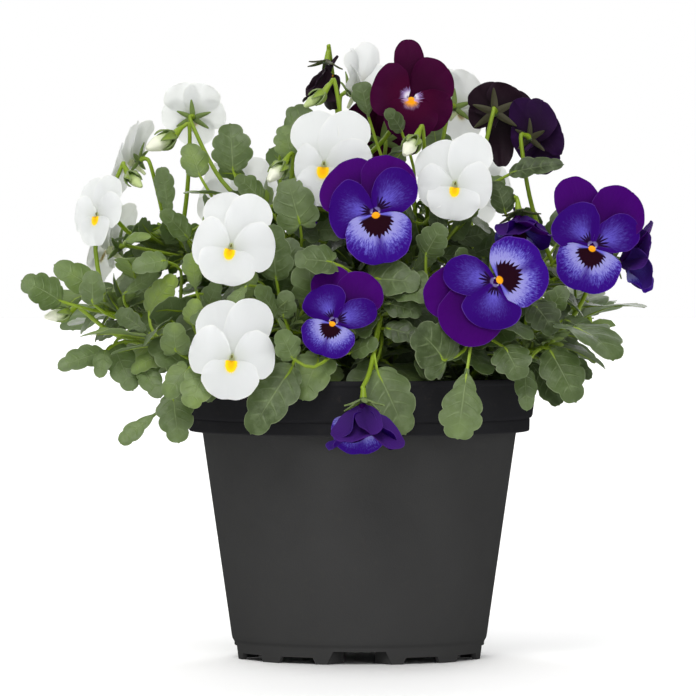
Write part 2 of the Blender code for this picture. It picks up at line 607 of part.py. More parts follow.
def lay_out():
    rnd = random.Random(SEED)
    stand = Stand()
    stand.add("pot", keep_out(), "pot")
    plan = {"shoots": {}, "blooms": [], "buds": [], "missed": [], "stand": stand}
    for name, foot, top in SHOOTS:
        stem = stem_line(foot, top)
        radii = list(np.linspace(STEM_R, 0.8, len(stem)))
        plan["shoots"][name] = {"stem": stem, "radii": radii, "leaves": [], "stalks": [], "flowers": [],
                                "free": list(np.linspace(0.99, 0.2, STEM_SPOTS))}
        stand.add(name, bar(stem[1:], radii[1:], 5), "stem")
    shifts = (0, -3, 3, -6, 6, -9, 9, -13, 13, -18, 18)
    for name, eye, yaw, pitch, roll, size, petals in BLOOMS:
        state = rnd.getstate()
        for dy in shifts:
            rnd.setstate(state)
            spot = seen_at(eye[0], eye[1] + dy, eye[2])
            bloom = make_bloom(name, spot, yaw, pitch, roll, size, petals, rnd)
            fat = merged(corolla_shapes(bloom, CLEAR) + [calyx_star(bloom, CLEAR)])
            if stand.clear(name, fat):
                break
        else:
            plan["missed"].append(name)
            continue
        plan["blooms"].append(bloom)
        stand.add("flower_" + name, merged(corolla_shapes(bloom)), "corolla")
        stand.add("calyx_" + name, calyx_star(bloom), "calyx")
    for name, middle, yaw, pitch, size in BUDS:
        for dy in shifts:
            bud = make_bud(name, seen_at(middle[0], middle[1] + dy, middle[2]), yaw, pitch, size)
            points, radii = bud["tips"]
            fat = merged([bar(points, [r + CLEAR for r in radii], 5)]
                         + [calyx_star(bud, CLEAR)])
            if stand.clear(name, fat):
                break
        else:
            plan["missed"].append("bud " + name)
            continue
        plan["buds"].append(bud)
        stand.add("bud_" + name, bar(points, radii, 5), "corolla")
        stand.add("calyx_bud_" + name, calyx_star(bud), "calyx")
    for flower in plan["blooms"] + plan["buds"]:
        hang_flower(plan, stand, flower, rnd)
    for spot in FRONT_LEAVES:
        place_read_leaf(plan, stand, spot, rnd)
    fill_leaves(plan, stand, rnd)
    return plan


def stalk_line(flower, start, run, bow, lean):
    f, up, size = flower["f"], flower["up"], flower["size"]
    seat = flower["seat"]
    rise = vec(0, 0, 1)
    first = seat + f * 0.4
    second = seat - f * 3.0 * size + rise * 1.5
    third = seat - f * 5.6 * size - rise * 0.6
    fall = unit(-f * 0.35 - rise + lean)
    reach = np.linalg.norm(third - start)
    low = bezier(start, start + run * reach * bow, third + fall * reach * 0.36, third, 3)
    return np.concatenate([low, [second, first]])


def leaving(run, goal):
    # The way in which a stalk leaves a stem: well to the side of it, and a little upwards.
    side = goal - run * float(goal @ run)
    if np.linalg.norm(side) < 3:
        side = side + np.cross(run, vec(0.4, 0.9, 0.1)) * 4
    return unit(unit(side) + run * 0.75)


def hang_flower(plan, stand, flower, rnd):
    # Nearest stems first, then points down each stem, then bows of the stalk.
    name = flower["name"]
    bud = "tips" in flower
    own = ("calyx_bud_" if bud else "calyx_") + name
    spots = []
    for key, shoot in plan["shoots"].items():
        for t in shoot["free"][::2]:
            p, run = stem_point(shoot["stem"], t)
            gap = flower["seat"] - p
            drop = gap[2]
            reach = float(np.linalg.norm(gap))
            cost = reach + (30 if drop < 4 and flower["seat"][2] > 110 else 0) + 6 * len(shoot["stalks"])
            spots.append((cost, key, t, p, run))
    spots.sort(key=lambda s: s[0])
    for cost, key, t, p, run in spots[:110]:
        for bow, sx, sy in ((0.35, 0, 0), (0.35, 0.5, 0), (0.35, -0.5, 0), (0.35, 0, 0.5),
                            (0.35, 0, -0.5), (0.6, 0, 0.3), (0.15, 0.3, 0.3), (0.6, 0.4, -0.4),
                            (0.25, 0.9, 0.2), (0.25, -0.9, 0.2), (0.5, 0, 1.1), (0.5, 0, -1.1)):
            lift = leaving(run, flower["seat"] - p + vec(sx, sy, 0) * 14)
            line = stalk_line(flower, p, lift, bow, vec(sx, sy, 0) * 0.8)
            radii = [0.9, 0.85, 0.75, 0.75, 1.5 * flower["size"] + 0.1]
            fat = bar(line, [r + CLEAR + 0.05 for r in radii], 4)
            keep = [i for i in stand.items if i[0] == own]
            stand.items = [i for i in stand.items if i[0] != own]
            fine = stand.clear(key, fat) and faces_clear(plan, fat[0], 9)
            stand.items += keep
            if not fine:
                continue
            shoot = plan["shoots"][key]
            shoot["free"].remove(t)
            shoot["stalks"].append({"line": line, "radii": radii})
            shoot["flowers"].append(flower)
            stand.items = [(key if i[0] == own else i[0], *i[1:]) for i in stand.items]
            stand.add(key, bar(line, radii, 4), "stalk")
            flower["shoot"] = key
            return
    plan["missed"].append("stalk of " + name)


def leaf_stalk(blade, stem_at, run, bow):
    reach = float(np.linalg.norm(blade["base"] - stem_at))
    away = leaving(run, blade["base"] - stem_at)
    lead = blade["base"] - blade["e"] * reach * 0.3
    return bezier(stem_at, stem_at + away * reach * bow, lead, blade["base"], 4 if reach > 26 else 3)


def try_leaf(plan, stand, blade, keys=None, free=True, reach_most=60.0):
    fat_blade = plain_blade(dict(blade, petiole=None), CLEAR)
    if free and not faces_clear(plan, fat_blade[0]):
        return False
    if not stand.clear("none", fat_blade):
        return False
    spots = []
    for key, shoot in plan["shoots"].items():
        if keys and key not in keys:
            continue
        for t in shoot["free"]:
            p, run = stem_point(shoot["stem"], t)
            gap = blade["base"] - p
            reach = float(np.linalg.norm(gap))
            if 4.0 < reach < reach_most:
                cost = reach - 8 * float(unit(gap) @ blade["e"]) + 1.2 * len(shoot["leaves"])
                spots.append((cost, key, t, p, run))
    spots.sort(key=lambda s: s[0])
    for cost, key, t, p, run in spots[:16]:
        for bow in (0.3, 0.55):
            blade["petiole"] = leaf_stalk(blade, p, run, bow)
            fat = plain_blade(blade, CLEAR)
            if stand.clear(key, fat) and faces_clear(plan, fat[0][-9:]):
                blade["shoot"] = key
                plan["shoots"][key]["free"].remove(t)
                plan["shoots"][key]["leaves"].append(blade)
                stand.add(key, plain_blade(blade), "stalk")
                stand.add(key, plain_blade(dict(blade, petiole=None)), "blade")
                return True
    return False


def leaf_shape(rnd, width):
    return {"sag": rnd.uniform(0.04, 0.1) * width, "fold": rnd.uniform(-0.04, 0.16),
            "ripple": rnd.uniform(0.03, 0.07) * width, "waves": rnd.uniform(1.0, 1.8),
            "phase": rnd.uniform(0, 6.3), "curl": -rnd.uniform(0.02, 0.12) * width,
            "tone": rnd.uniform(0, 1)}


def place_read_leaf(plan, stand, spot, rnd):
    (x0, z0), (x1, z1), width, y0, y1, profile, teeth = spot
    shape = leaf_shape(rnd, width)
    for dy in (0, -2, 2, -4, 4, -6, 6, 9, -9, 13, -13, 18, 24):
        for turn in (0, 0.25, -0.25):
            base, tip = seen_at(x0, y0 + dy, z0), seen_at(x1, y1 + dy, z1)
            face = vec(0.12 * (x0 > 20) - 0.12 * (x0 < -60) + turn, -1, 0.55 + 0.3 * (z0 > 150))
            blade = make_blade(base, tip, face, width, profile, teeth, **shape)
            if try_leaf(plan, stand, blade, free=False):
                return
    plan["missed"].append("leaf at %.0f, %.0f" % (x0, z0))


def fill_leaves(plan, stand, rnd):
    # Leaves by rule: up each stem by the golden angle, larger and drooping low on the mound.
    made = {key: 0 for key in plan["shoots"]}
    for step in range(RULE_STEPS):
        for number, (key, shoot) in enumerate(plan["shoots"].items()):
            front = shoot["stem"][-1][1] < -10
            if made[key] >= (RULE_FRONT if front else RULE_BACK):
                continue
            t = 0.98 - 0.72 * (step * 5 % RULE_STEPS) / (RULE_STEPS - 1)
            p, run = stem_point(shoot["stem"], t)
            for trial in range(9):
                turn = 2.39996 * (step + trial * 0.37) + number + rnd.uniform(-0.4, 0.4)
                out = vec(math.cos(turn), math.sin(turn), 0)
                far = math.hypot(p[0], p[1])
                away = vec(p[0], p[1], 0) / max(far, 1)
                low = (150 - p[2]) / 70
                lean = unit(out + away * (0.25 + 0.8 * min(far / 60, 1)) + vec(0, 0, 0.45 - 0.35 * low))
                size = rnd.uniform(17, 26) * (1.0 + (0.1 if front else 0.2) * low)
                base = p + unit(lean + vec(0, 0, 0.35)) * rnd.uniform(7, 15 + 6 * low)
                tip = base + unit(lean - vec(0, 0, rnd.uniform(0.1, 0.7))) * size
                if not -119 < tip[0] < 111 or abs(tip[1]) > 106 or not 79 < tip[2] < 212:
                    continue
                kind = rnd.choice(["round", "oval", "oval", "spoon"] if low < 0.3 else
                                  ["round", "round", "oval", "oval"])
                wide = size * {"round": 0.92, "oval": 0.64, "spoon": 0.52}[kind]
                face = unit(vec(0, 0, 1) + (0.3 + 0.5 * low) * unit(lean * vec(1, 1, 0)))
                blade = make_blade(base, tip, face, wide, kind, 4, plain_teeth=2,
                                   **leaf_shape(rnd, wide))
                if try_leaf(plan, stand, blade, keys=[key]):
                    made[key] += 1
                    break


# Solids in Blender

COLOURS = {
    "pot": ((0.035, 0.035, 0.037), 0.5), "soil": ((0.06, 0.035, 0.02), 0.95),
    "shoot": ((0.12, 0.2, 0.08), 0.55), "white": ((0.82, 0.82, 0.84), 0.6),
    "blue": ((0.1, 0.05, 0.5), 0.55), "maroon": ((0.13, 0.01, 0.045), 0.55),
    "dark": ((0.02, 0.008, 0.03), 0.55), "green": ((0.35, 0.5, 0.2), 0.55),
}


def material(name, hue):
    colour, rough = COLOURS[hue]
    mat = bpy.data.materials.new(name)
    mat.use_nodes = True
    bsdf = mat.node_tree.nodes["Principled BSDF"]
    bsdf.inputs["Base Color"].default_value = (*colour, 1.0)
    bsdf.inputs["Roughness"].default_value = rough
    bsdf.inputs["Metallic"].default_value = 0.0
    mat.diffuse_color = (*colour, 1.0)
    return mat


def group(name):
    made = bpy.data.collections.new(name)
    bpy.context.scene.collection.children.link(made)
    return made


def to_object(name, shape, home):
    verts, faces = shape
    mesh = bpy.data.meshes.new(name)
    placed = (np.asarray(verts) + vec(AXIS_X, AXIS_Y, 0)) * MM
    mesh.from_pydata(placed.tolist(), [], [list(f) for f in faces])
    work = bmesh.new()
    work.from_mesh(mesh)
    bmesh.ops.remove_doubles(work, verts=work.verts, dist=1e-6)
    bmesh.ops.recalc_face_normals(work, faces=work.faces)
    work.to_mesh(mesh)
    work.free()
    made = bpy.data.objects.new(name, mesh)
    home.objects.link(made)
    return made


def primitive(kind, **how):
    # Corners and faces of a cone, cylinder or cube that Blender makes.
    work = bmesh.new()
    if kind == "cone":
        bmesh.ops.create_cone(work, cap_ends=True, cap_tris=False, **how)
    else:
        bmesh.ops.create_cube(work, **how)
    verts = np.array([v.co for v in work.verts])
    faces = [[v.index for v in f.verts] for f in work.faces]
    work.free()
    return verts, faces


def cone(start, end, r_start, r_end, sides):
    run = Vector(end - start)
    place = Matrix.Translation(Vector((start + end) / 2)) @ run.to_track_quat("Z", "Y").to_matrix().to_4x4()
    return primitive("cone", segments=sides, radius1=r_start, radius2=r_end, depth=run.length,
                     matrix=place)


def sweep(points, radii, ring):
    # Round bar from a curve with a bevel and filled ends.
    curve = bpy.data.curves.new("sweep", "CURVE")
    curve.dimensions = "3D"
    curve.bevel_depth = 1.0
    curve.bevel_resolution = ring
    curve.use_fill_caps = True
    spline = curve.splines.new("POLY")
    spline.points.add(len(points) - 1)
    for point, xyz, r in zip(spline.points, points, radii):
        point.co = (*xyz, 1.0)
        point.radius = r
    holder = bpy.data.objects.new("sweep", curve)
    mesh = bpy.data.meshes.new_from_object(holder)
    work = bmesh.new()
    work.from_mesh(mesh)
    bmesh.ops.remove_doubles(work, verts=work.verts, dist=1e-4)
    verts = np.array([v.co for v in work.verts])
    faces = [[v.index for v in f.verts] for f in work.faces]
    work.free()
    bpy.data.objects.remove(holder)
    bpy.data.curves.remove(curve)
    bpy.data.meshes.remove(mesh)
    return verts, faces


def apply_all(made):
    graph = bpy.context.evaluated_depsgraph_get()
    done = bpy.data.meshes.new_from_object(made.evaluated_get(graph))
    made.modifiers.clear()
    old = made.data
    made.data = done
    bpy.data.meshes.remove(old)


def boolean(made, operation, solver, other):
    step = made.modifiers.new("boolean", "BOOLEAN")
    step.operation = operation
    step.solver = solver
    if isinstance(other, bpy.types.Collection):
        step.operand_type = "COLLECTION"
        step.collection = other
    else:
        step.object = other
    return step


def face_normal(a, b, c):
    return (b - a).cross(c - a)


def skin_planes(verts, faces):
    # The planes that each corner lies in, with one across every knife edge to hold outlines.
    planes = [set() for _ in verts]
    normals, sides = [], {}
    for f in faces:
        a, b, c = (verts[i] for i in f)
        n = face_normal(a, b, c)
        normals.append(n.normalized() if n.length > 1e-3 else None)
        for i, j in ((0, 1), (1, 2), (2, 0)):
            sides.setdefault(frozenset((f[i], f[j])), []).append(len(normals) - 1)
        if normals[-1]:
            for i in f:
                planes[i].add((*normals[-1], -normals[-1].dot(a)))
    for edge, pair in sides.items():
        f, g = pair if len(pair) == 2 else (pair[0], pair[0])
        if normals[f] and normals[g] and normals[f].dot(normals[g]) < 0.2:
            a, b = edge
            n = (verts[b] - verts[a]).cross(normals[f] - normals[g])
            if n.length > 1e-3:
                n.normalize()
                planes[a].add((*n, -n.dot(verts[a])))
                planes[b].add((*n, -n.dot(verts[a])))
    return planes


def eased(verts, faces, slack):
    # Closes up the slivers that a union leaves, where the skin moves less than slack and stays closed.
    doubled = collections.Counter(frozenset(f) for f in faces)
    faces = [f for f in faces if doubled[frozenset(f)] == 1 and len(set(f)) == 3]
    planes = skin_planes(verts, faces)
    faces = dict(enumerate(tuple(f) for f in faces))
    around = [set() for _ in verts]
    for k, f in faces.items():
        for i in f:
            around[i].add(k)

    def miss(u, v):
        x, y, z = verts[v]
        return max((abs(a * x + b * y + c * z + d) for a, b, c, d in planes[u]), default=0.0)

    queue = []

    def offer(u, v):
        size = miss(u, v)
        if size <= slack:
            heapq.heappush(queue, (round(size, 4), round((verts[u] - verts[v]).length, 4), u, v))

    def ring(v):
        return {i for k in around[v] for i in faces[k]} - {v}

    for f in list(faces.values()):
        for i in range(3):
            offer(f[i], f[(i + 1) % 3])
            offer(f[(i + 1) % 3], f[i])
    while queue:
        size, run, u, v = heapq.heappop(queue)
        if not around[u] or not around[v] or v not in ring(u) or round(miss(u, v), 4) > size + 1e-4:
            continue
        if len(ring(u) & ring(v)) != 2:
            continue
        kept = {frozenset(faces[k]) for k in around[v] - around[u]}
        fine = True
        for k in around[u] - around[v]:
            fine = fine and frozenset(v if i == u else i for i in faces[k]) not in kept
            old = [verts[i] for i in faces[k]]
            new = [verts[v] if i == u else verts[i] for i in faces[k]]
            before, after = face_normal(*old), face_normal(*new)
            longest = max((new[i] - new[i - 1]).length for i in range(3))
            if after.length < 0.03 * longest:
                fine = False
            elif before.length > 1e-4 and before.normalized().dot(after.normalized()) < 0.5:
                fine = False
        if not fine:
            continue
        for k in list(around[u]):
            f = faces.pop(k)
            for i in f:
                around[i].discard(k)
            if v not in f:
                faces[k] = tuple(v if i == u else i for i in f)
                for i in faces[k]:
                    around[i].add(k)
        planes[v] |= planes[u]
        for i in ring(v):
            offer(v, i)
            offer(i, v)
    used = sorted({i for f in faces.values() for i in f})
    index = {v: n for n, v in enumerate(used)}
    return [verts[i] for i in used], [[index[i] for i in f] for f in faces.values()]


def part_touching(work):
    # Corners of the skin that lie on one another are drawn a hair apart.
    work.normal_update()
    seen = {}
    for v in work.verts:
        seen.setdefault(tuple(round(c * 500) for c in v.co), []).append(v)
    for same in seen.values():
        for k, v in enumerate(same if len(same) > 1 else []):
            v.co -= v.normal * 0.02 * (k + 1)


def outer_body(made, slack=0.0):
    # Keeps the outer skin of the fused body: sealed hollows are filled and loose scrap goes.
    work = bmesh.new()
    work.from_mesh(made.data)
    bmesh.ops.scale(work, verts=work.verts, vec=(1000, 1000, 1000))
    bmesh.ops.triangulate(work, faces=work.faces)
    left, bodies = set(work.verts), []
    while left:
        seed = left.pop()
        body, todo = {seed}, [seed]
        while todo:
            for edge in todo.pop().link_edges:
                for v in edge.verts:
                    if v not in body:
                        body.add(v)
                        todo.append(v)
        left -= body
        faces = {f for v in body for f in v.link_faces}
        volume = sum(f.verts[0].co.dot(f.verts[1].co.cross(f.verts[2].co)) / 6 for f in faces)
        bodies.append((volume, body))
    bodies.sort(key=lambda b: b[0])
    for volume, body in bodies[:-1]:
        bmesh.ops.delete(work, geom=list(body), context="VERTS")
    if slack:
        work.verts.index_update()
        verts = [v.co.copy() for v in work.verts]
        faces = [[v.index for v in f.verts] for f in work.faces]
        verts, faces = eased(verts, faces, slack)
        work.clear()
        corners = [work.verts.new(v) for v in verts]
        for f in faces:
            work.faces.new([corners[i] for i in f])
        part_touching(work)
    bmesh.ops.scale(work, verts=work.verts, vec=(MM, MM, MM))
    work.to_mesh(made.data)
    work.free()


def fused(name, shapes, home, hue):
    made = to_object(name, shapes[0], home)
    parts = group("parts_of_" + name)
    for i, shape in enumerate(shapes[1:]):
        to_object(name + "_%d" % i, shape, parts)
    boolean(made, "UNION", "MANIFOLD", parts)
    apply_all(made)
    for piece in list(parts.objects):
        bpy.data.objects.remove(piece)
    bpy.data.collections.remove(parts)
    outer_body(made, SLACK)
    finish(made, hue)


def turned(name, line, steps, home):
    # A closed outline, listed from the top down its outer side, turned about the pot's axis.
    mesh = bpy.data.meshes.new(name)
    verts = [(r * MM, 0, z * MM) for r, z in line]
    closed = line[0][0] > 0
    edges = [(i, i + 1) for i in range(len(line) - 1)] + ([(len(line) - 1, 0)] if closed else [])
    mesh.from_pydata(verts, edges, [])
    made = bpy.data.objects.new(name, mesh)
    home.objects.link(made)
    step = made.modifiers.new("screw", "SCREW")
    step.steps = steps
    step.render_steps = steps
    step.use_merge_vertices = True
    step.merge_threshold = 0.00001
    step.use_smooth_shade = False
    apply_all(made)
    work = bmesh.new()
    work.from_mesh(made.data)
    bmesh.ops.remove_doubles(work, verts=work.verts, dist=1e-6)
    bmesh.ops.recalc_face_normals(work, faces=work.faces)
    bmesh.ops.translate(work, verts=work.verts, vec=(AXIS_X * MM, AXIS_Y * MM, 0))
    work.to_mesh(made.data)
    work.free()
    return made


def pot_line():
    inner = RIM_R - WALL
    return [(0, FLOOR_TOP_Z), (BODY_FOOT_R - WALL, FLOOR_TOP_Z), (BODY_TOP_R - WALL, RIM_UNDER_Z + 1.2),
            (BAND_LOWER_R - WALL, RIM_UNDER_Z + 3.0), (inner, RIM_TOP), (RIM_R - 0.4, RIM_TOP),
            (RIM_R, RIM_TOP - 0.8), (RIM_R - 0.5, RIM_TOP - 2.2), (BAND_UPPER_R, BAND_STEP_Z + 0.5),
            (BAND_LOWER_R, BAND_STEP_Z),
            (BAND_LOWER_R, RIM_UNDER_Z), (BODY_TOP_R, RIM_UNDER_Z), (BODY_FOOT_R, LEDGE_Z),
            (FOOT_R, LEDGE_Z - 0.8), (FOOT_R, 0), (FOOT_R - 1.8, 0), (FOOT_R - 1.8, FLOOR_UNDER_Z),
            (0, FLOOR_UNDER_Z)]


def cutter(name, shape, cutters):
    made = to_object(name, shape, cutters)
    made.display_type = "WIRE"
    made.hide_render = True


def notch(angle, half, height):
    # A cube through the foot ring, drawn in at its top.
    verts, faces = primitive("cube", size=1.0)
    inner, outer = FOOT_R - 8, FOOT_R + 6
    spread = np.where(verts[:, 2] > 0, 0.86, 1.12)
    turn = np.radians(angle + 2 * verts[:, 1] * half * spread)
    r = np.where(verts[:, 0] > 0, outer, inner)
    z = np.where(verts[:, 2] > 0, height, -1.0)
    return np.stack([r * np.cos(turn), r * np.sin(turn), z], axis=1), faces


def build_pot(home, cutters):
    pot = turned("pot", pot_line(), POT_STEPS, home)
    for k in range(12):
        half, height = (NOTCH_WIDE, NOTCH_WIDE_Z) if k % 3 == 0 else (NOTCH_SMALL, NOTCH_SMALL_Z)
        cutter("notch_%d" % k, notch(30 * k, half, height), cutters)
    for k in range(6):
        w = math.radians(30 + 60 * k)
        x, y = DRAIN_RING_R * math.cos(w), DRAIN_RING_R * math.sin(w)
        shape = cone(vec(x, y, FLOOR_UNDER_Z - 2), vec(x, y, FLOOR_TOP_Z + 2), DRAIN_R, DRAIN_R, 6)
        cutter("drain_%d" % k, shape, cutters)
    boolean(pot, "DIFFERENCE", "EXACT", cutters)
    apply_all(pot)
    outer_body(pot)
    finish(pot, "pot")
    return pot


def soil_line():
    g = SOIL_GAP
    slope = (BAND_LOWER_R - WALL, RIM_UNDER_Z + 3.0)
    return [(0, SOIL_TOP + 0.6), (slope[0] - g, SOIL_TOP), (slope[0] - g, slope[1] + g),
            (BODY_TOP_R - WALL - g, RIM_UNDER_Z + 1.2 + g * 0.6),
            (BODY_FOOT_R - WALL - g, FLOOR_TOP_Z + g), (0, FLOOR_TOP_Z + g)]


def build_soil(plan, home, cutters):
    soil = turned("soil", soil_line(), 20, home)
    for name, shoot in plan["shoots"].items():
        x, y, z = shoot["stem"][0]
        low, high = vec(x, y, SOIL_TOP - HOLE_DEPTH), vec(x, y, SOIL_TOP + 5)
        cutter("hole_" + name, cone(low, high, HOLE_R, HOLE_R, 6), cutters)
    boolean(soil, "DIFFERENCE", "EXACT", cutters)
    apply_all(soil)
    outer_body(soil)
    finish(soil, "soil")
    return soil


def finish(made, hue):
    made.data.materials.clear()
    made.data.materials.append(material(made.name, hue))
    if hue in ("pot", "soil"):
        made.data.shade_smooth()
        made.data.set_sharp_from_angle(angle=math.radians(32))


def tidy_cutters(cutters):
    for piece in list(cutters.objects):
        bpy.data.objects.remove(piece)


def main():
    for old in list(bpy.data.objects):
        bpy.data.objects.remove(old)
    home = group("horned_violet_in_pot")
    cutters = group("cutters")
    cutters.hide_render = True
    plan = lay_out()
    build_pot(home, cutters)
    tidy_cutters(cutters)
    build_soil(plan, home, cutters)
    tidy_cutters(cutters)
    bpy.data.collections.remove(cutters)
    for name, shoot in plan["shoots"].items():
        shapes = [sweep(shoot["stem"], shoot["radii"], 0)]
        shapes += [sweep(s["line"], s["radii"], 0) for s in shoot["stalks"]]
        shapes += [calyx_star(flower) for flower in shoot["flowers"]]
        shapes += [plain_blade(leaf) for leaf in shoot["leaves"]]
        fused("shoot_" + name, shapes, home, "shoot")
    for bloom in plan["blooms"]:
        (front, back), (r_front, r_back) = bloom["core"]
        shapes = [plain_blade(petal) for petal in bloom["petals"]]
        shapes += [cone(front, back, r_front, r_back, 5), sweep(*bloom["spur"], 0)]
        fused("flower_" + bloom["name"], shapes, home, bloom["hue"])
    for bud in plan["buds"]:
        points, radii = bud["tips"]
        made = to_object("bud_" + bud["name"], sweep(points, radii, 1), home)
        finish(made, bud["hue"])


main()
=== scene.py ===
# Looks of the horned violets in their nursery pot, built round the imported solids.
# The same rules and the same seed as in the solids say where each stem, leaf and flower lies.
# Sizes are in millimetres from the pot's foot and axis, and become metres as each mesh is made.

import math
import random

import bmesh
import bpy
import numpy as np
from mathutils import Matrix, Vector, noise
from mathutils.bvhtree import BVHTree


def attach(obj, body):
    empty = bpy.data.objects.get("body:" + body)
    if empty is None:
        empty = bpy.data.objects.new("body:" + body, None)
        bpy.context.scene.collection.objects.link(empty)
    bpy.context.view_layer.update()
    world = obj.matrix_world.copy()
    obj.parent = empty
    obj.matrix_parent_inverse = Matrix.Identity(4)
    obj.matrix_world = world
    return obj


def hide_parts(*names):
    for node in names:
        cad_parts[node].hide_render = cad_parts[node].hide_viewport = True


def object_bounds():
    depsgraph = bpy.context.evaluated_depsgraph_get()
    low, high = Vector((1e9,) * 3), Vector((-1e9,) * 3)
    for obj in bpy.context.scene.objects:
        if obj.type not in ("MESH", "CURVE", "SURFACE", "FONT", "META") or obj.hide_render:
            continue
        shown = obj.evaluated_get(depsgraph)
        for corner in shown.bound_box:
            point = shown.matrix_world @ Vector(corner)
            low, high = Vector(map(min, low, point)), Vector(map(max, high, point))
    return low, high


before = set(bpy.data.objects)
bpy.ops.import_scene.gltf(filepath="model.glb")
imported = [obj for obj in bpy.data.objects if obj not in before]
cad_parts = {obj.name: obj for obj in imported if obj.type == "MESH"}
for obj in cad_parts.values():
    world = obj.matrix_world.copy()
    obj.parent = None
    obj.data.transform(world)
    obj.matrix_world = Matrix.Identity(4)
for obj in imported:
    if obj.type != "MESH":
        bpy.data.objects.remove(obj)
cad_low, cad_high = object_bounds()

MM = 0.001
# Where the pot's axis stands
AXIS_X = 7.75
AXIS_Y = 4.3
SEED = 11
# The least gap between two solids
CLEAR = 0.4

# The photograph's view: distance, degrees above level, middle of its frame, and how many
# millimetres it spans at the pot's axis
VIEW_AWAY = 2600.0
VIEW_RISE = 1.4
VIEW_X = -4.1
VIEW_Z = 112.2
VIEW_WIDE = 252.7
SENSOR = 36.0
# Lights: name, turn to the right of the viewer, rise, light, breadth, colour
LAMPS = [
    ("key", -16, 44, 0.5, 30, (1.0, 0.99, 0.97)),
    ("fill", 14, 12, 0.28, 45, (0.99, 0.99, 1.0)),
    ("top", 0, 82, 0.17, 50, (1.0, 1.0, 1.0)),
    ("back", 180, 30, 0.45, 50, (1.0, 1.0, 1.0)),
    ("left back", -140, 26, 0.34, 40, (1.0, 1.0, 1.0)),
    ("right back", 150, 26, 0.22, 40, (1.0, 1.0, 1.0)),
]

# Pot
RIM_R = 65.0
RIM_TOP = 102.0
BAND_STEP_Z = 87.0
BAND_UPPER_R = 62.9
BAND_LOWER_R = 61.8
RIM_UNDER_Z = 82.2
BODY_TOP_R = 56.9
BODY_FOOT_R = 46.3
LEDGE_Z = 7.0
FOOT_R = 45.2
WALL = 1.3
FLOOR_UNDER_Z = 5.4
FLOOR_TOP_Z = 7.0
NOTCH_WIDE = 14.0
NOTCH_WIDE_Z = 4.7
NOTCH_SMALL = 9.6
NOTCH_SMALL_Z = 2.4
DRAIN_R = 4.0
DRAIN_RING_R = 27.0
# Notches in the foot ring, of which every third is wide, with plates beside it
NOTCHES = 12
WIDE_EVERY = 3
WING_TURN = 1.6
DRAINS = 6
POT_STEPS = 144
POT_SHARP = 35
# How the eight corners of a block make its six faces
BLOCK_FACES = [(0, 1, 3, 2), (4, 6, 7, 5), (0, 4, 5, 1), (2, 3, 7, 6), (0, 2, 6, 4),
               (1, 5, 7, 3)]

# Soil
SOIL_TOP = 91.0
SOIL_GAP = 0.3
HOLE_DEPTH = 12.0
SOIL_RINGS = 44
SOIL_STEPS = 132
CRUMBS = 320

# Plant
STEM_R = 1.5
PETIOLE_R = 0.7
LEAF_THICK = 1.0
PETAL_THICK = 0.9
TOOTH = 0.055
STEM_SPOTS = 20
# Leaves by rule: rounds up the stems, most on a stem in front and behind, and the angle from
# one to the next
RULE_STEPS = 13
RULE_FRONT = 4
RULE_BACK = 9
GOLDEN_ANGLE = 2.39996
# The most that a wave may be shifted by
FULL_TURN = 6.3
# How far forward each petal starts, and how far forward it leans
PETAL_DEPTHS = (-2.3, -1.2, -0.1, -0.1, 0.9)
PETAL_LIFTS = (-0.06, -0.04, 0.02, 0.04, 0.02)
SEPAL_ANGLES = (90, 158, 212, 328, 22)
BUD_SEPAL_ANGLES = (90, 162, 234, 306, 18)
# How far a flower or a leaf may be moved in depth to stand clear, in the order tried
FLOWER_SHIFTS = (0, -3, 3, -6, 6, -9, 9, -13, 13, -18, 18)
LEAF_SHIFTS = (0, -2, 2, -4, 4, -6, 6, 9, -9, 13, -13, 18, 24)
# Ways for a flower stalk to bow: how far it runs out, then its lean across and in depth
STALK_BOWS = ((0.35, 0, 0), (0.35, 0.5, 0), (0.35, -0.5, 0), (0.35, 0, 0.5), (0.35, 0, -0.5),
              (0.6, 0, 0.3), (0.15, 0.3, 0.3), (0.6, 0.4, -0.4), (0.25, 0.9, 0.2),
              (0.25, -0.9, 0.2), (0.5, 0, 1.1), (0.5, 0, -1.1))
# How many places on the stems are tried for a flower stalk and for a leaf stalk
STALK_TRIES = 110
LEAF_TRIES = 16
# Where the tips of leaves by rule may lie: across, in depth and up
TIP_LEFT = -119
TIP_RIGHT = 111
TIP_DEEP = 106
TIP_LOW = 79
TIP_HIGH = 212
# The room kept free before a flower's face, in depth
FACE_NEAR = 1.5
FACE_FAR = 28

# Half outlines of the blades from base to tip: along in blade lengths, across in blade widths.
PROFILES = {
    "round": [(0, 0.04), (-0.09, 0.16), (-0.11, 0.33), (0.03, 0.46), (0.27, 0.5), (0.53, 0.47),
              (0.77, 0.36), (0.94, 0.19), (1, 0)],
    "oval": [(0, 0.06), (0.03, 0.2), (0.14, 0.38), (0.32, 0.49), (0.53, 0.47), (0.73, 0.38),
             (0.92, 0.21), (1, 0)],
    "spoon": [(0, 0.05), (0.12, 0.12), (0.28, 0.28), (0.48, 0.44), (0.66, 0.5), (0.83, 0.43),
              (0.96, 0.24), (1, 0)],
    "petal": [(0, 0.11), (0.08, 0.23), (0.24, 0.39), (0.46, 0.49), (0.68, 0.5), (0.87, 0.38),
              (0.98, 0.19), (1.0, 0)],
    "lip": [(0, 0.12), (0.0, 0.29), (0.12, 0.44), (0.36, 0.5), (0.62, 0.47), (0.84, 0.36),
            (0.98, 0.17), (0.97, 0)],
    "sepal": [(0, 0.3), (0.2, 0.5), (0.55, 0.4), (0.85, 0.2), (1, 0)],
}
RIBS = {"round": (0.22, 0.66), "oval": (0.28, 0.68), "spoon": (0.36, 0.7), "petal": (0.6,),
        "lip": (0.56,), "sepal": (0.42,)}

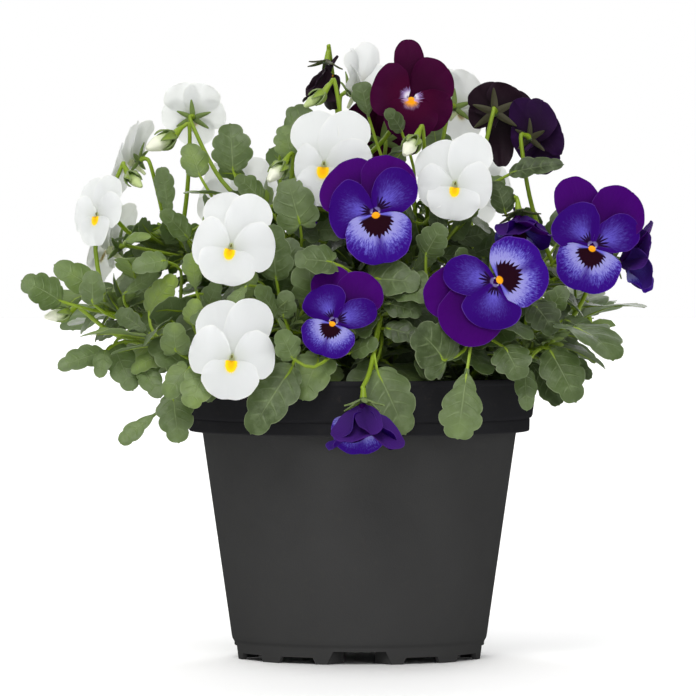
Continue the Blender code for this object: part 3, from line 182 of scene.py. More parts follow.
# Stems: name, foot on the soil, top.
SHOOTS = [
    ("a", (-32, -6), (-92, -12, 126)),
    ("b", (-24, 8), (-74, 10, 152)),
    ("c", (-30, -24), (-66, -42, 112)),
    ("d", (-13, -33), (-30, -54, 124)),
    ("e", (-11, -12), (-36, -16, 162)),
    ("f", (1, 7), (-6, 4, 176)),
    ("g", (7, -31), (8, -50, 128)),
    ("h", (13, -8), (30, -8, 168)),
    ("i", (25, -26), (42, -48, 122)),
    ("j", (32, 3), (76, -4, 140)),
    ("k", (38, -15), (68, -38, 114)),
    ("l", (23, 27), (48, 50, 142)),
    ("m", (1, 33), (2, 64, 140)),
    ("n", (-22, 28), (-46, 52, 142)),
    ("o", (-39, 13), (-88, 40, 120)),
    ("p", (41, 18), (86, 38, 120)),
]

# Petals of a common flower: angle seen from the front, length, width. The last is the lip.
COMMON = [(116, 19.5, 18), (64, 19.5, 18), (172, 15, 17.5), (8, 15, 17.5), (-92, 14.5, 20)]

# Flowers: name, eye, turn to the right, tilt up, roll, size, petals of its own.
BLOOMS = [
    ("blue_1", (5.8, -56, 161.5), 0, 8, 0, 1.0,
     [(135, 21, 23), (69, 20.5, 19.5), (174, 15.5, 20.5), (48, 17.5, 16), (-81, 18, 24)]),
    ("blue_2", (-9.4, -66, 121.8), -6, 6, 0, 1.0,
     [(94, 19.4, 15), (47, 20.3, 17), (115, 12.5, 15.5), (18, 15, 10.5), (-108, 12, 19.5)]),
    ("blue_3", (49.6, -66, 136.3), 8, 4, 0, 1.0,
     [(-165, 25, 19), (-127, 24.5, 23), (168, 18, 14), (-100, 16, 20.5), (25, 18, 25.5)]),
    ("blue_4", (84.5, -38, 149.2), 12, 8, 0, 1.0,
     [(104, 25.5, 17), (50, 25, 20), (127, 15.5, 19.5), (24, 18, 13.5), (-106, 16.2, 24.5)]),
    ("white_4", (-46.6, -62, 148.8), -4, 8, 0, 1.0,
     [(100, 19.6, 16), (61, 20, 16), (167, 12.8, 18), (-1, 14.8, 18), (-101, 12.9, 21)]),
    ("white_5", (-46.2, -74, 108.5), -6, 4, 0, 1.0,
     [(110, 20.4, 18), (65, 21.6, 16.5), (163, 14.6, 17.5), (7, 14.2, 17.5), (-94, 14, 20.2)]),
    ("white_6", (-12.8, -36, 178.6), -8, 8, 0, 1.0,
     [(108, 20, 17.5), (57, 21.5, 17.5), (178, 10, 14.5), (12, 16.5, 15), (-95, 14.4, 17.5)]),
    ("white_7", (34.7, -46, 171.3), 4, 6, 0, 1.0,
     [(122, 16.2, 18.5), (62, 19.6, 15.5), (183, 12.4, 15.5), (0, 12.4, 16.5), (-98, 11.8, 19.2)]),
    ("maroon_1", (18.8, -20, 203.3), 4, 2, 0, 1.0,
     [(92, 20.2, 11), (37, 16.2, 17), (162, 13.6, 20), (-32, 15, 15.5), (-92, 15, 19)]),
    ("white_3", (-95.2, -18, 160.5), -42, 6, 6, 0.74, None),
    ("white_2", (-84, 2, 180), -112, 16, -8, 0.82, None),
    ("white_1", (-60, 10, 196), 176, 22, 0, 0.74, None),
    ("white_8", (0, 18, 206), 56, 34, 0, 0.84, None),
    ("white_9", (36.5, 14, 199), 150, 12, 6, 0.8, None),
    ("dark_1", (-11.5, -4, 212), -36, -70, 20, 0.78, None),
    ("dark_2", (50, 6, 196.5), 170, 6, 0, 1.0,
     [(118, 12, 14), (62, 12, 14), (166, 13, 14), (10, 9.5, 12), (-95, 18, 10)]),
    ("dark_3", (65, -8, 187.5), 136, 8, 0, 0.82, None),
    ("blue_5", (58, -30, 157), 14, -62, 0, 0.86, None),
    ("blue_6", (1.5, -82, 88.5), 6, -74, 0, 0.88, None),
    ("blue_7", (97, -20, 143), 84, 2, 30, 0.9, None),
    ("back_1", (-44, 62, 164), 196, 14, 0, 1.0, None),
    ("back_2", (-4, 80, 146), 180, 10, 0, 1.05, None),
    ("back_3", (40, 64, 170), 168, 14, 0, 1.0, None),
    ("back_4", (88, 30, 154), 104, 12, 0, 1.0, None),
    ("back_5", (-92, 34, 148), 246, 12, 0, 0.95, None),
    ("back_6", (8, 44, 188), 188, 26, 0, 0.95, None),
    ("back_7", (-50, 84, 116), 200, 6, 0, 1.0, None),
    ("back_8", (52, 84, 124), 162, 6, 0, 1.05, None),
]
# Colours of the buds: tip, foot
BUD_COLOURS = {"white": ((240, 242, 222), (186, 208, 124)),
               "green": ((190, 206, 140), (128, 156, 66)),
               "blue": ((70, 36, 150), (110, 130, 90))}
WILTED = ("dark_1", "white_8", "blue_5", "blue_6", "blue_7")
BACK_HUES = {"back_1": "white", "back_2": "blue", "back_3": "white", "back_4": "blue",
             "back_5": "white", "back_6": "maroon", "back_7": "white", "back_8": "blue"}

# Buds: name, middle, turn, tilt, size.
BUDS = [
    ("white_1", (-71, -6, 187.5), -62, -24, 1.15),
    ("white_2", (-29.5, -30, 176.5), -40, -34, 1.0),
    ("white_3", (19, -42, 186), -30, -34, 1.0),
    ("white_4", (-108.6, -16, 124.5), -70, -10, 0.9),
    ("green_1", (-15.5, -22, 203), -85, -36, 0.85),
    ("green_2", (-82, -18, 173.5), 40, -30, 0.85),
    ("blue_1", (30, 52, 182), 160, -20, 0.9),
]

# Leaves read off the picture: foot of the blade, tip (both across and up), width, depth of foot
# and of tip, outline, teeth on each side.
FRONT_LEAVES = [
    ((-108.3, 129.2), (-122.6, 136.9), 13.4, -20, -24, "oval", 4),
    ((-94.9, 133.2), (-110.8, 142.7), 11.6, -12, -14, "oval", 3),
    ((-96.7, 128.1), (-97.0, 140.6), 9.5, -26, -24, "oval", 3),
    ((-86.1, 131.4), (-72.7, 139.8), 6.5, -26, -30, "spoon", 3),
    ((-76.7, 125.2), (-66.8, 138.7), 10, -30, -34, "oval", 4),
    ((-84.7, 151.5), (-75.6, 152.8), 5, -18, -22, "oval", 2),
    ((-92.7, 110.7), (-109.6, 104.9), 9.6, -28, -34, "oval", 4),
    ((-89.4, 113.6), (-82.1, 96.6), 11.5, -34, -40, "oval", 4),
    ((-92.2, 111.4), (-94.5, 101.3), 7, -38, -42, "oval", 3),
    ((-78.9, 105.3), (-72.0, 94.0), 8.5, -42, -48, "oval", 3),
    ((-73.8, 88.6), (-87.0, 77.7), 7, -46, -50, "spoon", 3),
    ((-67.6, 95.7), (-65.6, 77.7), 13.4, -48, -54, "oval", 4),
    ((-66.5, 110.7), (-67.3, 121.5), 10.6, -50, -54, "round", 3),
    ((-61.5, 103.9), (-76.2, 114.3), 13.6, -48, -50, "oval", 4),
    ((-62.4, 104.5), (-70.2, 94.0), 10, -60, -62, "round", 3),
    ((-56.6, 102.5), (-62.0, 90.6), 12, -68, -72, "round", 4),
    ((-59.3, 133.0), (-60.9, 146.8), 8, -44, -46, "spoon", 3),
    ((-54.6, 128.0), (-51.0, 136.4), 7.5, -50, -55, "oval", 3),
    ((-60.7, 120.6), (-59.3, 130.0), 8, -52, -56, "oval", 3),
    ((-43.0, 130.5), (-38.4, 140.5), 9, -56, -58, "oval", 3),
    ((-24.1, 105.8), (-39.8, 81.0), 16.2, -68, -73, "oval", 4),
    ((-14.8, 108.6), (-20.8, 93.5), 15, -60, -68, "round", 4),
    ((6.4, 104.4), (17.0, 80.6), 17, -67.6, -70, "oval", 4),
    ((5.6, 105.0), (-5.0, 94.6), 10, -62, -67, "round", 4),
    ((-17.2, 131.0), (-18.8, 146.2), 14, -54, -58, "round", 4),
    ((-23.0, 134.7), (-27.6, 152.0), 15.6, -46, -48, "round", 4),
    ((4.6, 137.4), (22.0, 136.0), 14.2, -54, -60, "round", 4),
    ((9.4, 128.6), (22.6, 124.8), 9.6, -56, -60, "oval", 4),
    ((9.4, 119.6), (22.6, 116.0), 9, -58, -62, "oval", 3),
    ((-27.5, 123.1), (-26.2, 133.1), 8.5, -58, -61, "oval", 3),
    ((-24.2, 108.4), (-29.0, 118.6), 10, -64, -68, "oval", 3),
    ((-2.8, 110.6), (7.0, 114.2), 8.5, -60, -66, "oval", 3),
    ((31.5, 107.4), (21.0, 119.0), 20.5, -64, -70, "round", 4),
    ((39.2, 104.6), (35.6, 79.0), 15.2, -68, -73, "spoon", 4),
    ((60.1, 104.9), (60.9, 89.3), 8, -52, -58, "oval", 3),
    ((52.8, 112.6), (58.5, 101.0), 14.5, -58, -64, "oval", 4),
    ((69.2, 111.7), (79.0, 92.5), 15.6, -44, -50, "oval", 4),
    ((74.2, 122.7), (92.6, 113.3), 8, -36, -40, "oval", 4),
    ((63.1, 128.5), (71.0, 117.8), 13, -46, -50, "oval", 4),
    ((69.0, 125.6), (75.0, 134.4), 9, -40, -42, "oval", 3),
    ((-45.8, 176.4), (-46.9, 194.0), 14.8, -22, -20, "oval", 4),
    ((-57.8, 174.6), (-62.4, 186.6), 10.6, -16, -12, "oval", 3),
    ((-27.3, 189.4), (-18.6, 200.0), 10, -14, -12, "spoon", 3),
    ((-24.4, 181.1), (-27.6, 193.2), 10.8, -20, -18, "oval", 4),
    ((-21.5, 157.0), (-26.2, 173.6), 15.2, -38, -36, "round", 4),
    ((-35.3, 166.1), (-44.8, 174.6), 10, -32, -34, "oval", 4),
    ((3.4, 196.1), (0.3, 208.8), 8.8, -12, -10, "spoon", 3),
    ((15.5, 191.0), (9.6, 198.8), 7.5, -27, -30, "oval", 3),
    ((-68.7, 158.6), (-71.8, 178.0), 7.4, -8, -8, "spoon", 4),
    ((54.5, 175.7), (74.2, 179.2), 9, -18, -22, "oval", 4),
    ((53.0, 161.4), (48.9, 173.0), 11, -30, -28, "oval", 4),
    ((24.0, 146.0), (30.5, 157.0), 11.5, -50, -54, "oval", 4),
    ((-62.0, 152.0), (-72.0, 162.0), 9.5, -26, -30, "oval", 3),
    ((-70.0, 144.0), (-82.5, 141.0), 9.5, -34, -38, "oval", 3),
]


def vec(*xyz):
    return np.array(xyz, float)


def unit(v):
    v = np.asarray(v, float)
    return v / max(float(np.linalg.norm(v)), 1e-9)


def square_to(axis, v):
    return unit(v - axis * float(v @ axis))


def bezier(a, b, c, d, count):
    t = np.linspace(0.0, 1.0, count)[:, None]
    return a * (1 - t) ** 3 + 3 * b * t * (1 - t) ** 2 + 3 * c * t * t * (1 - t) + d * t ** 3


def heading(yaw, pitch):
    # A turn of 0 faces the viewer at -Y, and a positive one turns towards +X.
    a, b = math.radians(yaw), math.radians(pitch)
    return vec(math.sin(a) * math.cos(b), -math.cos(a) * math.cos(b), math.sin(b))


def round_at(r, w, z):
    # The point at a radius and a turn about the pot's axis.
    return vec(r * math.cos(w), r * math.sin(w), z)


def seen_at(x, y, z):
    # The point at depth y that the photograph shows at x and z of the pot's own middle plane.
    rise = math.radians(VIEW_RISE)
    near = (VIEW_AWAY + y) / VIEW_AWAY
    return vec(VIEW_X + (x - VIEW_X) * near, y,
               VIEW_Z + ((z - VIEW_Z) * near - y * math.sin(rise)) / math.cos(rise))


# Blades: leaves, petals and sepals share one outline and one surface rule

def curve_at(points, k):
    # Smooth curve through points, where k counts along them from 0.
    points, k = np.asarray(points, float), np.asarray(k, float)
    i = np.clip(k.astype(int), 0, len(points) - 2)
    f = (k - i)[:, None]
    p0, p1, p2, p3 = (points[np.clip(i + j, 0, len(points) - 1)] for j in (-1, 0, 1, 2))
    return 0.5 * (2 * p1 + (p2 - p0) * f + (2 * p0 - 5 * p1 + 4 * p2 - p3) * f ** 2
                  + (3 * p1 - p0 - 3 * p2 + p3) * f ** 3)


def edge_at(profile, q):
    return curve_at(PROFILES[profile], np.asarray(q) * (len(PROFILES[profile]) - 1))


def toothed(blade, q):
    # Half outline in mm, pushed in and out by the rounded teeth.
    size = vec(blade["length"], blade["width"])
    here = edge_at(blade["profile"], q) * size
    if not blade["teeth"]:
        return here
    ahead = edge_at(blade["profile"], np.clip(q + 0.01, 0, 1)) * size
    behind = edge_at(blade["profile"], np.clip(q - 0.01, 0, 1)) * size
    run = ahead - behind
    run /= np.maximum(np.linalg.norm(run, axis=1, keepdims=True), 1e-9)
    out = np.stack([-run[:, 1], run[:, 0]], axis=1)
    phase = np.clip((q - 0.1) / 0.86, 0, 1) * blade["teeth"]
    wave = np.abs(np.sin(math.pi * phase)) ** 0.6 - 0.55
    wave *= np.clip(q / 0.1, 0, 1) * np.clip((1 - q) / 0.09, 0, 1)
    return here + out * (TOOTH * blade["width"] * wave)[:, None]


def make_blade(base, tip, up, width, profile, teeth=0, **more):
    blade = {"base": np.asarray(base, float), "tip": np.asarray(tip, float), "width": width,
             "profile": profile, "teeth": teeth, "sag": 0.0, "fold": 0.0, "cup": 0.0, "ripple": 0.0,
             "waves": 1.5, "phase": 0.0, "curl": 0.0, "thick": LEAF_THICK, "petiole": None,
             "read": False}
    blade.update(more)
    blade.setdefault("plain_teeth", teeth)
    run = blade["tip"] - blade["base"]
    blade["length"] = float(np.linalg.norm(run))
    blade["e"] = unit(run)
    blade["n"] = square_to(blade["e"], np.asarray(up, float))
    blade["s"] = np.cross(blade["n"], blade["e"])
    return blade


def on_blade(blade, x, y):
    # x and y in mm along the rib and across it.
    x, y = np.asarray(x, float), np.asarray(y, float)
    t = x / blade["length"]
    k = 2 * np.abs(y) / blade["width"]
    side = np.where(y > 0, 1.9, 0.0)
    h = blade["sag"] * 4 * t * (1 - t) + blade["fold"] * np.abs(y) + blade["cup"] * k ** 2
    turn = 2 * math.pi * blade["waves"] * t + blade["phase"] + side
    h = h + blade["ripple"] * k ** 2 * np.sin(turn)
    h = h + blade["curl"] * np.clip((t - 0.4) / 0.6, 0, 2) ** 2
    return (blade["base"] + blade["e"] * x[:, None] + blade["s"] * y[:, None]
            + blade["n"] * h[:, None])


def plain_blade(blade, fat=0.0):
    # Few-sided solid: both faces share the outline and are split alike, and meet there.
    teeth, profile = blade["plain_teeth"], blade["profile"]
    pointed = profile not in ("petal", "lip")
    if teeth:
        steps = np.arange(1, 2 * teeth) / (2 * teeth)
        q = np.concatenate([[0.0], 0.1 + 0.86 * steps, [1.0]])
    elif pointed:
        q = vec(0, 0.55, 0.9)
    else:
        q = vec(0, 0.36, 0.66, 0.93) if blade["read"] else vec(0, 0.42, 0.88)
    half = toothed(dict(blade, teeth=teeth), q)
    half[0, 1] = max(half[0, 1], 0.45)
    ribs = np.array(RIBS[profile]) * blade["length"]
    m, k = len(half), len(ribs)
    if pointed:
        half[-1, 1] = 0.0
    left = on_blade(blade, half[:, 0], half[:, 1])
    right = on_blade(blade, half[:, 0], -half[:, 1])
    rib = on_blade(blade, ribs, ribs * 0)
    up = blade["n"] * blade["thick"] / 2
    verts = [*left, *right, *(rib + up), *(rib - up)]
    L, R, T, K = list(range(m)), list(range(m, 2 * m)), 2 * m, 2 * m + k
    if pointed:
        R[-1] = L[-1]
    near = [int(np.argmin(np.abs(ribs - x))) for x in half[:, 0]]
    near = np.maximum.accumulate(near)
    faces = []
    for i in range(m - 1):
        for side, chain in ((1, L), (-1, R)):
            a, b = chain[i], chain[i + 1]
            top = [[a, T + near[i], b]]
            top += [[b, T + j, T + j + 1] for j in range(near[i], near[i + 1])]
            low = [[a, b, K + near[i]]]
            low += [[b, K + j + 1, K + j] for j in range(near[i], near[i + 1])]
            for f in top + low:
                faces.append(f if side > 0 else f[::-1])
    if not pointed:
        faces += [[R[-1], L[-1], T + near[-1]], [L[-1], R[-1], K + near[-1]]]
    faces.append([L[0], R[0], T + near[0]])
    if blade["petiole"] is None:
        faces.append([R[0], L[0], K + near[0]])
        return thicken(np.array(verts), faces, fat)
    # The stalk of the leaf runs on from the blade's foot as a three-cornered bar.
    path = blade["petiole"]
    side = blade["s"]
    r = PETIOLE_R
    keel = len(verts)
    verts.append(blade["base"] - blade["n"] * 1.5 * r)
    faces += [[R[0], keel, K + near[0]], [keel, L[0], K + near[0]]]
    last = (L[0], R[0], keel)
    for j in range(len(path) - 2, -1, -1):
        run = unit(path[j + 1] - path[j] if j == 0 else path[j + 1] - path[j - 1])
        side = square_to(run, side)
        up = np.cross(run, side)
        n = len(verts)
        verts += [path[j] + side * r, path[j] - side * r, path[j] - up * 1.5 * r]
        a, b, c = n, n + 1, n + 2
        faces += [[a, last[1], last[0]], [a, b, last[1]], [b, last[2], last[1]], [b, c, last[2]],
                  [c, last[0], last[2]], [c, a, last[0]]]
        last = (a, b, c)
    faces.append([last[0], last[2], last[1]])
    return thicken(np.array(verts), faces, fat)


def calyx_star(flower, fat=0.0):
    # The sepals as one closed star, thick in the middle and sharp at its edge.
    f, seat, size = flower["f"], flower["seat"], flower["size"]
    tips = [s["tip"] for s in flower["sepals"]]
    outs = [unit(s["tip"] - s["base"]) for s in flower["sepals"]]
    verts = [seat + f * 0.4, seat - f * 0.9]
    faces = []
    n = len(tips)
    for i in range(n):
        dip = seat + unit(outs[i] + outs[(i + 1) % n]) * 1.3 * size
        verts += [tips[i], dip]
    for i in range(2 * n):
        a, b = 2 + i, 2 + (i + 1) % (2 * n)
        faces += [[0, a, b], [1, b, a]]
    return thicken(np.array(verts), faces, fat)


def thicken(verts, faces, fat):
    if fat:
        normals = np.zeros_like(verts)
        for f in faces:
            n = np.cross(verts[f[1]] - verts[f[0]], verts[f[2]] - verts[f[0]])
            for i in f:
                normals[i] += n
        size = np.maximum(np.linalg.norm(normals, axis=1, keepdims=True), 1e-9)
        verts = verts + normals / size * fat
    return verts, faces


def bar(points, radii, sides=4):
    # Round bar through points, as a swept ring with closed ends.
    points = np.asarray(points, float)
    verts, faces = [], []
    lean = vec(0.31, 0.94, 0.12)
    for i, p in enumerate(points):
        run = unit(points[min(i + 1, len(points) - 1)] - points[max(i - 1, 0)])
        a = square_to(run, lean)
        b = np.cross(run, a)
        lean = a
        for k in range(sides):
            w = 2 * math.pi * k / sides
            verts.append(p + radii[i] * (a * math.cos(w) + b * math.sin(w)))
    for i in range(len(points) - 1):
        for k in range(sides):
            a, b = i * sides + k, i * sides + (k + 1) % sides
            faces += [[a, b, b + sides], [a, b + sides, a + sides]]
    faces += [[0, k + 1, k] for k in range(1, sides - 1)]
    top = (len(points) - 1) * sides
    faces += [[top, top + k, top + k + 1] for k in range(1, sides - 1)]
    return np.array(verts), faces


# Flowers: where each petal, spur, sepal and neck lies

def bloom_frame(yaw, pitch, roll):
    f = heading(yaw, pitch)
    up = unit(vec(0, 0, 1) - f * f[2]) if abs(f[2]) < 0.97 else unit(vec(0, 1, 0) - f * f[1])
    right = np.cross(up, f)
    c, s = math.cos(math.radians(roll)), math.sin(math.radians(roll))
    return f, up * c - right * s, right * c + up * s


def make_bloom(rnd, name, eye, yaw, pitch, roll, size, petals):
    f, up, right = bloom_frame(yaw, pitch, roll)
    hue = BACK_HUES.get(name) or name.split("_")[0]
    wilted = name in WILTED
    blades = []
    for i, (angle, length, width) in enumerate(petals or COMMON):
        a = math.radians(angle + (0 if petals else rnd.uniform(-5, 5)))
        ray = right * math.cos(a) + up * math.sin(a)
        base = eye + ray * 0.9 * size + f * PETAL_DEPTHS[i] * size
        lift = PETAL_LIFTS[i] * length
        fold, ripple, spread = rnd.uniform(-0.05, 0.03), rnd.uniform(0.5, 0.9), 1.0
        curl = rnd.uniform(-1.6, -0.6)
        if wilted:
            spread, lift = rnd.uniform(0.4, 0.7), rnd.uniform(0.7, 0.9) * length
            fold, ripple = -0.3, 1.6
            curl = -rnd.uniform(2, 4)
        tip = base + (ray * length * spread + f * lift) * size
        profile = "lip" if i == 4 else "petal"
        blades.append(make_blade(
            base, tip, f, width * size, profile, thick=PETAL_THICK, ripple=ripple * size, fold=fold,
            curl=curl * size, waves=rnd.uniform(0.8, 1.3), sag=0.6 * size,
            phase=rnd.uniform(0, FULL_TURN), layer=i, size=size, read=petals is not None))
    core = ([eye + f * 1.6 * size, eye - f * 3.3 * size], [1.4 * size, 2.4 * size])
    spur = (bezier(eye - f * 2.4 * size - up * 0.6 * size, eye - f * 5 * size - up * 1.4 * size,
                   eye - f * 7 * size - up * 1.8 * size, eye - f * 9.5 * size - up * 3.4 * size, 3),
            [1.3 * size, 1.1 * size, 0.7 * size])
    seat = eye - f * 5.6 * size + up * 1.7 * size
    sepals = []
    for a in SEPAL_ANGLES:
        w = math.radians(a + rnd.uniform(-6, 6))
        ray = right * math.cos(w) + up * math.sin(w)
        base = seat + ray * 0.5
        tip = seat + (ray * rnd.uniform(8.4, 9.6) + f * rnd.uniform(0.2, 0.9)) * size
        sepals.append(make_blade(base, tip, f, 2.9 * size, "sepal", thick=0.9, curl=-0.5 * size))
    return {"name": name, "calyx": "calyx_" + name, "hue": hue, "eye": eye, "f": f, "size": size,
            "petals": blades, "core": core, "spur": spur, "seat": seat, "sepals": sepals,
            "wilted": wilted}


def make_bud(_, name, middle, yaw, pitch, size):
    f = heading(yaw, pitch)
    up = unit(vec(0, 0, 1) - f * f[2])
    right = np.cross(up, f)
    seat = middle - f * 4.4 * size
    tips = ([middle - f * 3.1 * size, middle - f * 1.2 * size, middle + f * 2.6 * size,
             middle + f * 6.5 * size], [0.25 * size, 1.7 * size, 2.2 * size, 0.6 * size])
    sepals = []
    for a in BUD_SEPAL_ANGLES:
        w = math.radians(a)
        ray = right * math.cos(w) + up * math.sin(w)
        base = seat + ray * 0.4
        tip = middle + (ray * 4.7 + f * 1.2) * size
        sepals.append(make_blade(base, tip, f - ray, 2.6 * size, "sepal", thick=0.8,
                                 sag=-0.7 * size))
    return {"name": name, "calyx": "calyx_bud_" + name, "hue": name.split("_")[0], "f": f,
            "size": size, "seat": seat, "tips": tips, "sepals": sepals, "eye": middle}


# Laying out: each candidate is tried against what already stands, and bent until it is clear

class Stand:
    def __init__(self):
        self.items = []

    def add(self, node, shape, kind):
        verts, faces = shape
        low, high = verts.min(axis=0), verts.max(axis=0)
        tree = BVHTree.FromPolygons(verts.tolist(), faces)
        self.items.append((node, kind, low, high, tree))

    def clear(self, node, fat_shape):
        # Bars of one node may run into each other, but nothing crosses a blade.
        verts, faces = fat_shape
        low, high = verts.min(axis=0), verts.max(axis=0)
        tree = None
        for other, what, lo, hi, tree_there in self.items:
            if other == node and what != "blade":
                continue
            if (lo > high).any() or (hi < low).any():
                continue
            if tree is None:
                tree = BVHTree.FromPolygons(verts.tolist(), faces)
            if tree.overlap(tree_there):
                return False
        return True


def faces_clear(plan, verts, reach=14):
    # Nothing by rule stands close before a flower's face.
    for bloom in plan["blooms"]:
        if bloom["wilted"]:
            continue
        rel = verts - bloom["eye"]
        depth = rel @ bloom["f"]
        wide = np.linalg.norm(rel - depth[:, None] * bloom["f"], axis=1)
        before = (depth > FACE_NEAR) & (depth < FACE_FAR)
        if (before & (wide < reach * bloom["size"])).any():
            return False
    return True


def keep_out():
    # The pot and the soil, a little swollen, as one turned surface.
    g, swell = 0.7, 1.003
    line = [(0.5, SOIL_TOP + 1.2), (61.0, SOIL_TOP + 1.2), (62.4, RIM_TOP + g),
            (RIM_R + g, RIM_TOP + g), (RIM_R + g, RIM_UNDER_Z - g),
            (BODY_TOP_R + g, RIM_UNDER_Z - g), (FOOT_R + 2, 0)]
    steps, verts, faces = 40, [], []
    for k in range(steps):
        w = 2 * math.pi * k / steps
        verts += [(r * math.cos(w) * swell, r * math.sin(w) * swell, z) for r, z in line]
    n = len(line)
    for k in range(steps):
        for i in range(n - 1):
            a, b = k * n + i, ((k + 1) % steps) * n + i
            faces += [[a, b, b + 1], [a, b + 1, a + 1]]
    return np.array(verts), faces


def corolla_shapes(flower, fat=0.0):
    shapes = [plain_blade(b, fat) for b in flower.get("petals", ())]
    for part, sides in (("core", 5), ("spur", 4), ("tips", 5)):
        if part in flower:
            points, radii = flower[part]
            shapes.append(bar(points, [r + fat for r in radii], sides))
    return shapes


def merged(shapes):
    verts, faces, n = [], [], 0
    for v, f in shapes:
        verts.append(v)
        faces += [[i + n for i in face] for face in f]
        n += len(v)
    return np.concatenate(verts), faces


def stem_line(foot, top):
    x, y = foot
    low = vec(x, y, SOIL_TOP - HOLE_DEPTH + 1)
    rise = vec(x, y, SOIL_TOP + 3)
    top = vec(*top)
    out = top - rise
    bend = rise + vec(0, 0, 0.35 * np.linalg.norm(out))
    back = top - unit(vec(out[0], out[1], 0.5 * out[2])) * 0.38 * np.linalg.norm(out)
    return np.concatenate([[low], bezier(rise, bend, back, top, 6)])


def stem_point(stem, t):
    k = t * (len(stem) - 1)
    i = min(int(k), len(stem) - 2)
    f = k - i
    return stem[i] * (1 - f) + stem[i + 1] * f, unit(stem[i + 1] - stem[i])


def lay_out():
    rnd = random.Random(SEED)
    stand = Stand()
    stand.add("pot", keep_out(), "pot")
    plan = {"shoots": {}, "blooms": [], "buds": [], "stand": stand}
    for name, foot, top in SHOOTS:
        stem = stem_line(foot, top)
        radii = list(np.linspace(STEM_R, 0.8, len(stem)))
        plan["shoots"][name] = {"stem": stem, "radii": radii, "leaves": [], "stalks": [],
                                "flowers": [], "free": list(np.linspace(0.99, 0.2, STEM_SPOTS))}
        stand.add(name, bar(stem[1:], radii[1:], 5), "stem")
    for make, rows, kind in ((make_bloom, BLOOMS, "blooms"), (make_bud, BUDS, "buds")):
        for name, (x, y, z), *shape in rows:
            state = rnd.getstate()
            for dy in FLOWER_SHIFTS:
                rnd.setstate(state)
                flower = make(rnd, name, seen_at(x, y + dy, z), *shape)
                fat = merged(corolla_shapes(flower, CLEAR) + [calyx_star(flower, CLEAR)])
                if stand.clear(name, fat):
                    break
            else:
                continue
            plan[kind].append(flower)
            stand.add(kind + name, merged(corolla_shapes(flower)), "corolla")
            stand.add(flower["calyx"], calyx_star(flower), "calyx")
    for flower in plan["blooms"] + plan["buds"]:
        hang_flower(plan, stand, flower)
    for spot in FRONT_LEAVES:
        place_read_leaf(plan, stand, spot, rnd)
    fill_leaves(plan, stand, rnd)
    return plan


def stalk_line(flower, start, run, bow, lean):
    f, size, seat = flower["f"], flower["size"], flower["seat"]
    rise = vec(0, 0, 1)
    first = seat + f * 0.4
    second = seat - f * 3.0 * size + rise * 1.5
    third = seat - f * 5.6 * size - rise * 0.6
    fall = unit(-f * 0.35 - rise + lean)
    reach = np.linalg.norm(third - start)
    low = bezier(start, start + run * reach * bow, third + fall * reach * 0.36, third, 3)
    return np.concatenate([low, [second, first]])


def leaving(run, goal):
    # The way in which a stalk leaves a stem: well to the side of it, and a little upwards.
    side = goal - run * float(goal @ run)
    if np.linalg.norm(side) < 3:
        side = side + np.cross(run, vec(0.4, 0.9, 0.1)) * 4
    return unit(unit(side) + run * 0.75)


def hang_flower(plan, stand, flower):
    # Nearest stems first, then points down each stem, then bows of the stalk.
    own = flower["calyx"]
    spots = []
    for key, shoot in plan["shoots"].items():
        for t in shoot["free"][::2]:
            p, run = stem_point(shoot["stem"], t)
            gap = flower["seat"] - p
            # A stalk that would have to hang down from its stem is tried last.
            drop = 30 if gap[2] < 4 and flower["seat"][2] > 110 else 0
            cost = float(np.linalg.norm(gap)) + drop + 6 * len(shoot["stalks"])
            spots.append((cost, key, t, p, run))
    spots.sort(key=lambda s: s[0])
    for cost, key, t, p, run in spots[:STALK_TRIES]:
        for bow, sx, sy in STALK_BOWS:
            lift = leaving(run, flower["seat"] - p + vec(sx, sy, 0) * 14)
            line = stalk_line(flower, p, lift, bow, vec(sx, sy, 0) * 0.8)
            radii = [0.9, 0.85, 0.75, 0.75, 1.5 * flower["size"] + 0.1]
            fat = bar(line, [r + CLEAR + 0.05 for r in radii], 4)
            keep = [i for i in stand.items if i[0] == own]
            stand.items = [i for i in stand.items if i[0] != own]
            fine = stand.clear(key, fat) and faces_clear(plan, fat[0], 9)
            stand.items += keep
            if not fine:
                continue
            shoot = plan["shoots"][key]
            shoot["free"].remove(t)
            shoot["stalks"].append({"line": line, "radii": radii})
            shoot["flowers"].append(flower)
            stand.items = [(key if i[0] == own else i[0], *i[1:]) for i in stand.items]
            stand.add(key, bar(line, radii, 4), "stalk")
            return


def leaf_stalk(blade, stem_at, run, bow):
    reach = float(np.linalg.norm(blade["base"] - stem_at))
    away = leaving(run, blade["base"] - stem_at)
    lead = blade["base"] - blade["e"] * reach * 0.3
    count = 4 if reach > 26 else 3
    return bezier(stem_at, stem_at + away * reach * bow, lead, blade["base"], count)


